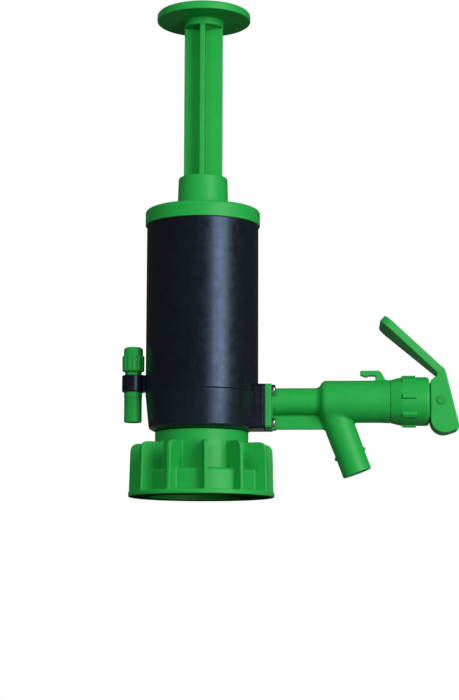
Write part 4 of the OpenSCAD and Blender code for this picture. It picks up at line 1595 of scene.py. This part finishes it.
@dataclass
class Tap(SubAssembly):
    """The tap's body with its flange, web, spout and hook, and its seals, screws and spring."""

    axis_z: float = SHARED.tap_z
    flange_z: float = SHARED.outlet_z
    flange_half: float = SHARED.outlet_half
    flange_corner: float = SHARED.outlet_corner
    flange_low: float = 37.2
    flange_high: float = 40.9
    flange_edge: float = 0.5
    flange_fillet: float = 1.0
    gasket_low: float = SHARED.outlet_x
    gasket_edge: float = 0.12
    gasket_cell: float = 0.26
    screws: int = 4
    screw_half: float = SHARED.screw_half
    screw_hole_r: float = SHARED.screw_hole_r
    web_half: float = 1.5
    web_rise: float = 0.3
    web_edge: float = 0.5
    web_fillet: float = 0.9
    pipe_r: float = 8.0
    shoulder: Point2 = (67.95, 70.35)
    shoulder_r: float = 3.4
    body_r: float = 12.25
    body_end: float = 109.0
    lip_h: float = 0.3
    lip_len: float = 2.7
    lip_edge: float = 0.25
    neck_r: float = 11.0
    neck_end: float = 118.5
    neck_edge: float = 0.3
    way_r: float = SHARED.outlet_r
    way_end: float = 72.5
    seat_r: float = 6.4
    seat_x: Point2 = (70.0, 73.0)
    chamber_r: float = 9.6
    chamber_x: float = 71.5
    spout_x: float = 74.6
    spout_dir: Point2 = (0.348572, -0.937282)
    spout_len: float = 44.3
    spout_root_r: float = 8.7
    spout_r: float = 8.5
    spout_taper: float = 8.0
    spout_edge: float = 0.5
    spout_fillet: float = 1.3
    spout_bore_r: float = 6.3
    spout_bore_at: float = 8.1
    spout_bore_edge: float = 0.4
    lug_at: float = 31.5
    lug_len: float = 1.8
    lug_half: float = 1.6
    lug_reach: float = 9.4
    lug_edge: float = 0.3
    hook_foot_z: float = 65.55
    hook_foot: float = 7.0
    hook_gap_z: float = 70.15
    hook_gap_corner: float = 0.6
    hook_top: float = 73.15
    hook_lean: float = 2.8
    hook_bend: float = 2.4
    hook_x: float = 100.8
    hook_half: float = 3.0
    hook_edge: float = 0.5
    hook_fillet: float = 0.8
    tip_x: float = 92.0
    tip_rise: float = 0.5
    tip_corner: float = 0.3
    beak: Point2 = (3.6, 0.8)
    beak_end: float = 4.8
    beak_corner: float = 0.4
    spring_x: Point2 = (78.3, 109.3)
    spring_fixed: float = 110.0
    spring_r: float = 7.9
    spring_wire: float = 0.6
    spring_turns: float = 7.0
    spring_lift: float = 2.51327
    cell: float = 0.5

    def barrel_corners(self) -> list[Corner]:
        """Draws the outline of pipe, shoulder, body and thread.

        Returns:
            Its corners, stations along the tap's axis second.
        """
        start, end = self.shoulder
        lip, flare = self.body_r + self.lip_h, self.body_end - 2 * self.lip_len
        return [(CORE, self.flange_low, 0), (self.pipe_r, self.flange_low, 0),
                (self.pipe_r, start, self.shoulder_r), (self.body_r, end, self.shoulder_r),
                (self.body_r, flare, 0), (lip, self.body_end, self.lip_edge), (self.neck_r, self.body_end, 0),
                (self.neck_r, self.neck_end, self.neck_edge), (CORE, self.neck_end, 0)]

    def spout_place(self) -> Place:
        """Returns the spout's frame, z down along it."""
        dx, dz = self.spout_dir
        return Place((self.spout_x, 0.0, self.axis_z), (-dz, 0.0, dx), (0.0, 1.0, 0.0), (dx, 0.0, dz))

    def spout(self) -> Solid:
        """Shapes the spout with its lugs.

        Returns:
            The spout without its bore.
        """
        place, lug_end = self.spout_place(), self.lug_at + self.lug_len
        root, tip, end = self.spout_root_r, self.spout_r, self.spout_len
        tube = Solid.turned([(CORE, 0, 0), (root, 0, 0), (root, self.lug_at - self.spout_taper, 0),
                             (tip, lug_end, 0), (tip, end, self.spout_edge), (CORE, end, 0)], place)
        lugs = Solid.box((-self.lug_reach, -self.lug_half, self.lug_at),
                         (self.lug_reach, self.lug_half, lug_end), place, self.lug_edge)
        return tube.join(lugs, self.lug_edge)

    def hook(self) -> Solid:
        """Shapes the hook on top of the body.

        Returns:
            The hook.
        """
        foot, gap, top, tip, root = self.hook_foot_z, self.hook_gap_z, self.hook_top, self.tip_x, self.hook_x
        beak_x, beak_drop = self.beak
        corners = [(root, foot, 0), (root + self.hook_foot, foot, 0),
                   (root + self.hook_lean, top, self.hook_bend), (tip, top, self.hook_edge),
                   (tip, gap + self.tip_rise, self.tip_corner),
                   (tip + beak_x, gap - beak_drop, self.beak_corner),
                   (tip + self.beak_end, gap, self.beak_corner), (root, gap, self.hook_gap_corner)]
        return Solid.plate(corners, self.hook_half, self.hook_edge, upright())

    def sheet(self, low: float, high: float, edge: float) -> Solid:
        """Returns a square plate of the flange's outline between two stations."""
        return Solid.plate(square_corners(self.flange_half, self.flange_corner), (high - low) / 2, edge,
                           across_x((low + high) / 2, self.flange_z))

    def drilled(self, solid: Solid) -> Solid:
        """Drills the flange's four screw holes.

        Args:
            solid: What is drilled.

        Returns:
            The drilled solid.
        """
        for place in screw_frames(self.flange_z, self.screw_half):
            hole = Solid.cylinder(self.screw_hole_r, self.gasket_low - PAST, self.flange_high + PAST, place)
            solid = solid.cut(hole)
        return solid

    def solid(self) -> Solid:
        """Shapes the tap's body.

        Returns:
            The body.
        """
        axis = along_x(self.axis_z)
        tap = Solid.turned(self.barrel_corners(), axis)
        tap = tap.join(self.sheet(self.flange_low, self.flange_high, self.flange_edge), self.flange_fillet)
        web_z = self.flange_z - self.flange_half + self.web_rise
        web = Solid.box((self.flange_low + self.web_edge, -self.web_half, web_z),
                        (self.spout_x, self.web_half, self.axis_z), Place(), self.web_edge)
        tap = tap.join(web, self.web_fillet).join(self.spout(), self.spout_fillet)
        tap = tap.join(self.hook(), self.hook_fillet)
        seat_low, seat_high = self.seat_x
        seat = Solid.cylinder(self.seat_r, seat_low, seat_high, axis)
        seat = seat.cut(Solid.cylinder(self.way_r, seat_low - PAST, seat_high + PAST, axis))
        chamber = Solid.cylinder(self.chamber_r, self.chamber_x, self.neck_end + PAST, axis).cut(seat)
        tap = tap.cut(Solid.cylinder(self.way_r, self.flange_low - PAST, self.way_end, axis)).cut(chamber)
        bore = Solid.cylinder(self.spout_bore_r, self.spout_bore_at, self.spout_len + PAST,
                              self.spout_place())
        return self.drilled(tap.cut(bore, self.spout_bore_edge))

    def build(self) -> None:
        """Makes the body, the flange's gasket and screws, and the spring."""
        axis = along_x(self.axis_z)
        self.field_piece(self.solid(), "tap_shell", GREEN, self.cell, "tap_body")
        gasket = self.sheet(self.gasket_low, self.flange_low, self.gasket_edge)
        gasket = gasket.cut(Solid.cylinder(self.way_r, self.gasket_low - PAST, self.flange_high + PAST, axis))
        self.field_piece(self.drilled(gasket), "flange_sheet", RUBBER, self.gasket_cell, "flange_gasket")
        one = CrossScrew(self.flange_high).mesh()
        shift = self.screw_half * MM
        one.transform(Matrix.Translation((shift, shift, 0.0)))
        screws = from_group("flange_bolts", ring_group(),
                            {"Count": self.screws, "First": 0.0, "Material": STEEL.material()},
                            along_x(self.flange_z), one)
        self.add(screws, STEEL, "flange_screws")
        self.spring(axis)

    def spring(self, axis: Place) -> None:
        """Makes the spring.

        Args:
            axis: The tap's axis.
        """
        start, end = self.spring_x
        length = end - start
        coil = from_group("spring_coil", coil_group(),
                          {"Turns": self.spring_turns, "Radius": self.spring_r * MM, "Height": length * MM,
                           "Wire": self.spring_wire * MM, "Start": (0.0, 0.0, start * MM),
                           "Material": STEEL.material()}, axis)
        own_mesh(self.add(coil, STEEL, "stem_spring"))

    def dress(self, nodes: dict[str, bpy.types.Object]) -> None:
        """Paints the gland and its ring."""
        self.paint(nodes, BLACK, "stem_gland")
        self.paint(nodes, RUBBER, "stem_o_ring")


@dataclass
class TapValve(SubAssembly):
    """The tap's valve: stem and washer."""

    body: Body = Body.VALVE

    def dress(self, nodes: dict[str, bpy.types.Object]) -> None:
        """Paints the stem and its washer."""
        self.paint(nodes, WHITE, "valve_stem")
        self.paint(nodes, RUBBER, "valve_washer")


@dataclass
class Bonnet(SubAssembly):
    """The bonnet nut with its grip ribs."""

    axis_z: float = SHARED.tap_z
    low: float = 109.15
    thread_r: float = 11.1
    thread_edge: float = 0.2
    mouth_r: float = 12.5
    mouth_edge: float = 0.25
    cone_end: float = 115.9
    cone_corner: float = 2.5
    r: float = 14.1
    high: float = 131.6
    high_corner: float = 2.0
    hole_r: float = 3.3
    hole_edge: float = 0.3
    wall_x: float = 128.0
    gland_r: float = 8.7
    gland_x: float = 120.5
    ribs: int = 8
    first_rib: float = -97.0
    rib_half: float = 1.35
    rib_h: float = 1.1
    rib_root: float = 1.2
    rib_len: float = 8.0
    rib_edge: float = 0.4
    rib_fillet: float = 0.5
    cell: float = 0.34

    def build(self) -> None:
        """Makes the nut and its ribs."""
        axis = along_x(self.axis_z)
        nut = Solid.turned([(self.thread_r, self.low, self.thread_edge),
                            (self.mouth_r, self.low, self.mouth_edge),
                            (self.r, self.cone_end, self.cone_corner), (self.r, self.high, self.high_corner),
                            (self.hole_r, self.high, self.hole_edge), (self.hole_r, self.wall_x, 0),
                            (self.gland_r, self.wall_x, 0), (self.gland_r, self.gland_x, 0),
                            (self.thread_r, self.gland_x, 0)], axis)
        rib = Solid.box((self.r - self.rib_root, -self.rib_half, self.cone_end),
                        (self.r + self.rib_h, self.rib_half, self.cone_end + self.rib_len), axis,
                        self.rib_edge)
        nut = nut.join(rib.around(self.ribs, self.first_rib, axis), self.rib_fillet)
        self.field_piece(nut, "bonnet_shell", GREEN, self.cell, "bonnet_nut")


@dataclass
class Lever(SubAssembly):
    """The cam lever and its pin. Its outline is drawn about the pin."""

    body: Body = Body.LEVER
    pin: Point2 = (138.0, SHARED.tap_z)
    heel: float = 6.0
    heel_sweep: float = 18.0
    heel_steps: int = 8
    cam_r: float = 9.0
    toe: Corner = (-6.0, -22.21, 8.0)
    back: Corner = (10.76, -16.44, 2.4)
    crown_r: float = 4.0
    crook: Point2 = (0.3, 1.4)
    notch: Point2 = (-3.0, 13.6)
    cheek_half: float = 10.0
    edge: float = 0.7
    slot_half: float = 2.7
    slot_x: Point2 = (-12.0, 4.5)
    slot_z: Point2 = (-40.0, 5.14)
    slot_edge: float = 0.4
    arm_root: Point2 = (0.3, 16.6)
    arm_rise: float = 41.6
    arm_len: float = 45.0
    arm_half: float = 2.3
    arm_lap: float = 1.1
    arm_stub: float = 8.0
    tip_half: float = 20.31
    tip_r: float = 5.0
    pin_r: float = 1.5
    pin_fit: float = 0.1
    head_r: float = 2.6
    head_t: float = 0.8
    head_edges: Point2 = (0.3, 0.05)
    groove: Point2 = (1.85, 2.25)
    groove_t: float = 0.4
    groove_edge: float = 0.06
    cross: Point2 = (0.9, 0.3)
    cell: float = 0.42
    pin_cell: float = 0.14

    def heel_point(self, angle: float) -> Point2:
        """Places a point of the involute heel.

        Args:
            angle: How far the heel has rolled, in degrees.

        Returns:
            The point from the pin.
        """
        a = math.radians(angle)
        reach = self.heel + self.cam_r * a
        return (-reach * math.cos(a) + self.cam_r * math.sin(a),
                reach * math.sin(a) + self.cam_r * math.cos(a))

    def arm_point(self, along: float, out: float) -> Point2:
        """Places a point of the arm's side.

        Args:
            along: Its station along the arm.
            out: Its height over the arm's middle.

        Returns:
            The point from the pin.
        """
        a = math.radians(self.arm_rise)
        return (self.arm_root[0] - along * math.cos(a) + out * math.sin(a),
                self.arm_root[1] + along * math.sin(a) + out * math.cos(a))

    def profile(self) -> list[Corner]:
        """Draws the outline of the lever's cheeks and of the arm's root.

        Returns:
            Its corners from the pin.
        """
        steps = range(self.heel_steps, -1, -1)
        heel = [(*self.heel_point(self.heel_sweep * i / self.heel_steps), 0.0) for i in steps]
        h, (crook_at, crook_r) = self.arm_half, self.crook
        return [self.toe, self.back, (*self.arm_point(-self.arm_lap, h), self.crown_r),
                (*self.arm_point(self.arm_stub, h), 0.0), (*self.arm_point(self.arm_stub, -h), 0.0),
                (*self.arm_point(crook_at, -h), crook_r), (*self.notch, 0.0), *heel]

    def solid(self) -> Solid:
        """Shapes the lever.

        Returns:
            The lever with its slot and pin hole.
        """
        x, z = self.pin
        cheeks = Solid.plate(self.profile(), self.cheek_half, self.edge, upright(x, z))
        a = math.radians(self.arm_rise)
        arm = Place((x + self.arm_root[0], 0.0, z + self.arm_root[1]), (-math.cos(a), 0.0, math.sin(a)),
                    (0.0, 1.0, 0.0), (-math.sin(a), 0.0, -math.cos(a)))
        half, tip, lap = self.cheek_half, self.tip_half, self.arm_lap
        plan = [(lap, -half, 0.0), (self.arm_len, -tip, self.tip_r), (self.arm_len, tip, self.tip_r),
                (lap, half, 0.0)]
        lever = cheeks.join(Solid.plate(plan, self.arm_half, self.edge, arm))
        slot = Solid.box((x + self.slot_x[0], -self.slot_half, z + self.slot_z[0]),
                         (x + self.slot_x[1], self.slot_half, z + self.slot_z[1]))
        reach = self.cheek_half + PAST
        hole = Solid.cylinder(self.pin_r + self.pin_fit, -reach, reach, upright(x, z))
        return lever.cut(slot, self.slot_edge).cut(hole)

    def rivet(self) -> Solid:
        """Shapes the pin with its two heads, each with a round groove and a cross.

        Returns:
            The pin.
        """
        place = upright(*self.pin)
        h, r, top = self.cheek_half, self.head_r, self.cheek_half + self.head_t
        outer_edge, inner_edge = self.head_edges
        pin = Solid.turned([(CORE, -top, 0), (r, -top, outer_edge), (r, -h, inner_edge),
                            (self.pin_r, -h, 0), (self.pin_r, h, 0), (r, h, inner_edge),
                            (r, top, outer_edge), (CORE, top, 0)], place)
        inner, outer = self.groove
        long, wide = self.cross
        for end in (-top, top):
            low, high = end - self.groove_t, end + self.groove_t
            groove = Solid.cylinder(outer, low, high, place)
            pin = pin.cut(groove.cut(Solid.cylinder(inner, low - PAST, high + PAST, place)), self.groove_edge)
            for u, v in ((long, wide), (wide, long)):
                pin = pin.cut(Solid.box((-u, -v, low), (u, v, high), place), self.groove_edge)
        return pin

    def build(self) -> None:
        """Makes the lever and its pin."""
        self.field_piece(self.solid(), "lever_arm", GREEN, self.cell, "lever")
        self.field_piece(self.rivet(), "lever_rivet", GREEN, self.pin_cell, "lever_pin")


@dataclass
class VentValve(SubAssembly):
    """The vent valve's fixed pieces: tube, nut and seals."""

    x: float = SHARED.vent_x
    tube_r: float = 5.15
    tube_low: float = 43.6
    tube_bore_r: float = 3.45
    tube_edges: Point2 = (0.25, 0.4)
    cuff_len: float = 3.0
    cuff_h: float = 0.15
    cuff_edges: Point2 = (0.05, 0.1)
    ring_low: float = SHARED.clip_low
    ring_high: float = SHARED.clip_high
    shank_r: float = 4.2
    thread_r: float = 3.4
    thread_top: float = 78.9
    thread_edge: float = 0.3
    guide_r: float = 2.3
    guide_edge: float = 0.1
    seat_z: float = 62.0
    way_r: float = 1.4
    nut_sides: int = 6
    nut_r: float = 5.0
    nut_top: float = 72.6
    nut_corner: float = 0.4
    nut_edge: float = 0.25
    nut_bore_r: float = 3.5
    nut_cell: float = 0.2

    def build(self) -> None:
        """Makes the tube with its shank, and the hexagon nut."""
        axis = Place((self.x, 0.0, 0.0))
        cuff, cuff_r = self.ring_low - self.cuff_len, self.tube_r + self.cuff_h
        inner, outer = self.tube_edges
        cuff_low, cuff_high = self.cuff_edges
        corners = [(self.tube_bore_r, self.tube_low, inner), (self.tube_r, self.tube_low, outer),
                   (self.tube_r, cuff, 0), (cuff_r, cuff, cuff_low), (cuff_r, self.ring_low, cuff_high),
                   (self.shank_r, self.ring_low, 0), (self.shank_r, self.ring_high, 0),
                   (self.thread_r, self.ring_high, 0), (self.thread_r, self.thread_top, self.thread_edge),
                   (self.guide_r, self.thread_top, self.guide_edge), (self.guide_r, self.seat_z, 0),
                   (self.way_r, self.seat_z, 0), (self.way_r, cuff, 0), (self.tube_bore_r, cuff, 0)]
        self.add(turned_mesh("vent_tube", corners, axis, steps=SMALL_STEPS), GREEN, "vent_body")
        angles = [2 * math.pi * i / self.nut_sides for i in range(self.nut_sides)]
        hexagon = [(self.nut_r * math.cos(a), self.nut_r * math.sin(a), self.nut_corner) for a in angles]
        middle, half = (self.ring_high + self.nut_top) / 2, (self.nut_top - self.ring_high) / 2
        nut = Solid.plate(hexagon, half, self.nut_edge, axis.moved(0.0, 0.0, middle))
        nut = nut.cut(Solid.cylinder(self.nut_bore_r, self.ring_high - PAST, self.nut_top + PAST, axis))
        self.field_piece(nut, "vent_hexagon", GREEN, self.nut_cell, "vent_nut")

    def dress(self, nodes: dict[str, bpy.types.Object]) -> None:
        """Paints the rubber rings."""
        self.paint(nodes, RUBBER, "vent_o_rings")


@dataclass
class VentNeedle(SubAssembly):
    """The vent's spindle and seal."""

    body: Body = Body.NEEDLE

    def dress(self, nodes: dict[str, bpy.types.Object]) -> None:
        """Paints the spindle and its rubber."""
        self.paint(nodes, STEEL, "vent_spindle")
        self.paint(nodes, RUBBER, "vent_seal", "spindle_o_ring")


@dataclass
class VentKnob(SubAssembly):
    """The ribbed knob of the vent valve."""

    body: Body = Body.GRIP
    x: float = SHARED.vent_x
    low: float = 72.9
    low_edges: Point2 = (0.2, 0.3)
    chamfer: Point2 = (0.6, 1.2)
    chamfer_corner: float = 0.5
    high: float = 87.6
    corner: float = 1.8
    r: float = 5.6
    cup_r: float = 3.7
    cup_top: float = 79.9
    bore_r: float = 1.3
    bore_top: float = 85.6
    ribs: int = 12
    first_rib: float = 12.0
    rib_half: float = 1.0
    rib_h: float = 0.8
    rib_root: float = 0.8
    rib_low: float = 73.5
    rib_len: float = 9.0
    rib_edge: float = 0.35
    rib_cell: float = 0.16

    def build(self) -> None:
        """Makes the knob and its ribs."""
        axis = Place((self.x, 0.0, 0.0))
        inner, outer = self.low_edges
        inset, rise = self.chamfer
        knob = turned_mesh("vent_cap", [(0, self.bore_top, 0), (self.bore_r, self.bore_top, 0),
                                        (self.bore_r, self.cup_top, 0), (self.cup_r, self.cup_top, 0),
                                        (self.cup_r, self.low, inner), (self.r - inset, self.low, outer),
                                        (self.r, self.low + rise, self.chamfer_corner),
                                        (self.r, self.high, self.corner), (0, self.high, 0)],
                           axis, Ends.ON_AXIS, SMALL_STEPS)
        self.add(knob, GREEN, "vent_knob")
        low = (self.r - self.rib_root, -self.rib_half, self.rib_low)
        high = (self.r + self.rib_h, self.rib_half, self.rib_low + self.rib_len)
        rib = Solid.box(low, high, Place(), self.rib_edge).mesh("vent_rib", low, high, self.rib_cell)
        ring = from_group("vent_ribs", ring_group(),
                          {"Count": self.ribs, "First": math.radians(self.first_rib),
                           "Material": GREEN.material()}, axis, rib)
        self.add(ring, GREEN, "vent_knob")


@dataclass
class Stage:
    """Camera, lights, surroundings and floor. Places are in metres, the lens in millimetres."""

    camera_at: Point3 = (0.0797, -1.042, -0.0589)
    heading: Point2 = (-0.061, 0.998)
    pitch: float = 7.9
    roll: float = 0.19
    lens: float = 92.83
    sensor: float = 36.0
    aim: Point3 = (0.02, 0.0, 0.12)
    key_angle: float = 39.5
    key_away: float = 1.1
    key_z: float = 0.24
    key_size: Point2 = (0.58, 1.0)
    key_power: float = 10.4
    fill_at: Point3 = (-0.1, -0.6, 0.3)
    fill_size: Point2 = (0.3, 0.2)
    fill_power: float = 1.35
    back_at: Point3 = (-0.4, 1.1, 0.5)
    back_size: Point2 = (1.0, 1.0)
    back_power: float = 7.0
    ambient: float = 0.34
    below: float = 0.0
    horizon: Point2 = (-0.1, 0.4)
    glossy: float = 0.045
    backdrop: float = 1.0
    bounce: float = 0.04
    mirrored: float = 0.35
    paper: Point2 = (0.9, 0.92)
    paper_grain: Point2 = (40.0, 4.0)
    floor_r: float = 0.5
    floor_fade: float = 0.3
    floor_z: float = -0.0002

    def camera(self) -> None:
        """Sets the camera as the photograph's."""
        data = bpy.data.cameras.new("photo_camera")
        data.lens = self.lens
        data.sensor_width = self.sensor
        camera = bpy.data.objects.new("photo_camera", data)
        rise = math.radians(self.pitch)
        flat = Vector((*self.heading, 0.0)).normalized() * math.cos(rise)
        ahead = Vector((flat.x, flat.y, math.sin(rise)))
        turn = ahead.to_track_quat("-Z", "Y").to_matrix().to_4x4()
        camera.matrix_world = (Matrix.Translation(self.camera_at) @ turn
                               @ Matrix.Rotation(math.radians(self.roll), 4, "Z"))
        bpy.context.scene.collection.objects.link(camera)
        bpy.context.scene.camera = camera

    def softbox(self, name: str, at: Vector, size: Point2, power: float) -> bpy.types.Object:
        """Adds a softbox.

        Args:
            name: Its name.
            at: Where it hangs, in metres.
            size: Its width and height.
            power: Its power in watts.

        Returns:
            The light, turned to the pump.
        """
        data = bpy.data.lights.new(name, "AREA")
        data.shape = "RECTANGLE"
        data.size, data.size_y = size
        data.energy = power
        light = bpy.data.objects.new(name, data)
        turn = (Vector(self.aim) - at).to_track_quat("-Z", "Y").to_matrix().to_4x4()
        light.matrix_world = Matrix.Translation(at) @ turn
        light.visible_camera = False
        bpy.context.scene.collection.objects.link(light)
        return light

    def lights(self) -> None:
        """Adds the softbox at the camera's right, and two that give no gloss, in front and behind."""
        a = math.radians(self.key_angle)
        at = Vector((self.aim[0] + self.key_away * math.sin(a), -self.key_away * math.cos(a), self.key_z))
        self.softbox("key_softbox", at, self.key_size, self.key_power)
        fill = self.softbox("fill_softbox", Vector(self.fill_at), self.fill_size, self.fill_power)
        back = self.softbox("back_softbox", Vector(self.back_at), self.back_size, self.back_power)
        fill.visible_glossy = back.visible_glossy = False

    def world(self) -> None:
        """Makes the surroundings: white to the camera, dim to reflections, soft light from above."""
        world = bpy.data.worlds.new("studio")
        world.cycles.sampling_method = "NONE"
        g = Graph(world)
        way = g.add("TexCoord").outputs["Generated"]
        soft = g.ramp(g.add("SeparateXYZ", Vector=way).outputs["Z"], *self.horizon, self.below, self.ambient)
        shown, dim, white = (g.of("Background", opaque(PURE), strength)
                             for strength in (soft, self.glossy, self.backdrop))
        path = g.add("LightPath")
        for name, shade in (("Is Glossy Ray", dim), ("Is Transmission Ray", white), ("Is Camera Ray", white)):
            shown = g.of("MixShader", path.outputs[name], shown, shade)
        bpy.context.scene.world = g.finish(shown)

    def paper_material(self) -> bpy.types.Material:
        """Builds the floor's paper, clear from below and towards its border.

        Returns:
            A diffuse material on object coordinates, darker to light that bounces or mirrors.
        """
        g = Graph(bpy.data.materials.new("floor_paper"))
        at = g.at()
        grain = g.ramp(g.noise(at, *self.paper_grain), *MIDDLE, 0.0, 1.0)
        dull, light = self.paper
        tone = g.mix(grain, opaque(PURE, dull), opaque(PURE, light))
        path = g.add("LightPath")
        tone = g.mix(path.outputs["Is Diffuse Ray"], tone, opaque(PURE, self.bounce))
        tone = g.mix(path.outputs["Is Glossy Ray"], tone, opaque(PURE, self.mirrored))
        away = g.add("VectorMath", operation="LENGTH")
        g.put(away.inputs[0], at)
        border = g.ramp(away.outputs["Value"], self.floor_fade, self.floor_r, 0.0, 1.0)
        clear = g.of("Math", g.add("NewGeometry").outputs["Backfacing"], border, operation="MAXIMUM")
        return g.finish(g.of("MixShader", clear, g.of("BsdfDiffuse", tone), g.of("BsdfTransparent")))

    def floor(self) -> None:
        """Adds the floor that the pump stands on.

        It casts no shadow, because the softbox reaches below it.
        """
        mesh = bpy.data.meshes.new("floor")
        w, z = self.floor_r, self.floor_z
        mesh.from_pydata([(-w, -w, z), (w, -w, z), (w, w, z), (-w, w, z)], [], [(0, 1, 2, 3)])
        mesh.materials.append(self.paper_material())
        floor = bpy.data.objects.new("floor", mesh)
        bpy.context.scene.collection.objects.link(floor)
        floor.visible_shadow = False

    def build(self) -> None:
        """Sets up the whole stage."""
        self.camera()
        self.lights()
        self.world()
        self.floor()
        bpy.context.scene.view_settings.view_transform = "Standard"


def main() -> None:
    """Builds the sub-assemblies in order, then the stage."""
    for item in list(bpy.data.objects):
        bpy.data.objects.remove(item)
    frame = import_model()
    nodes = frame["nodes"]
    groups: list[SubAssembly] = [NeckNut(), Base(), Barrel(), TopCap(), Plunger(), Tap(), TapValve(),
                                 Bonnet(), Lever(), VentValve(), VentNeedle(), VentKnob()]
    for group in groups:
        group.build()
        group.dress(nodes)
        for name in group.made:
            LOG.info("%s on %s: %s", type(group).__name__, group.body.value, name)
    Stage().build()


if __name__ == "__main__":
    logging.basicConfig(level=logging.INFO, format="%(message)s")
    main()
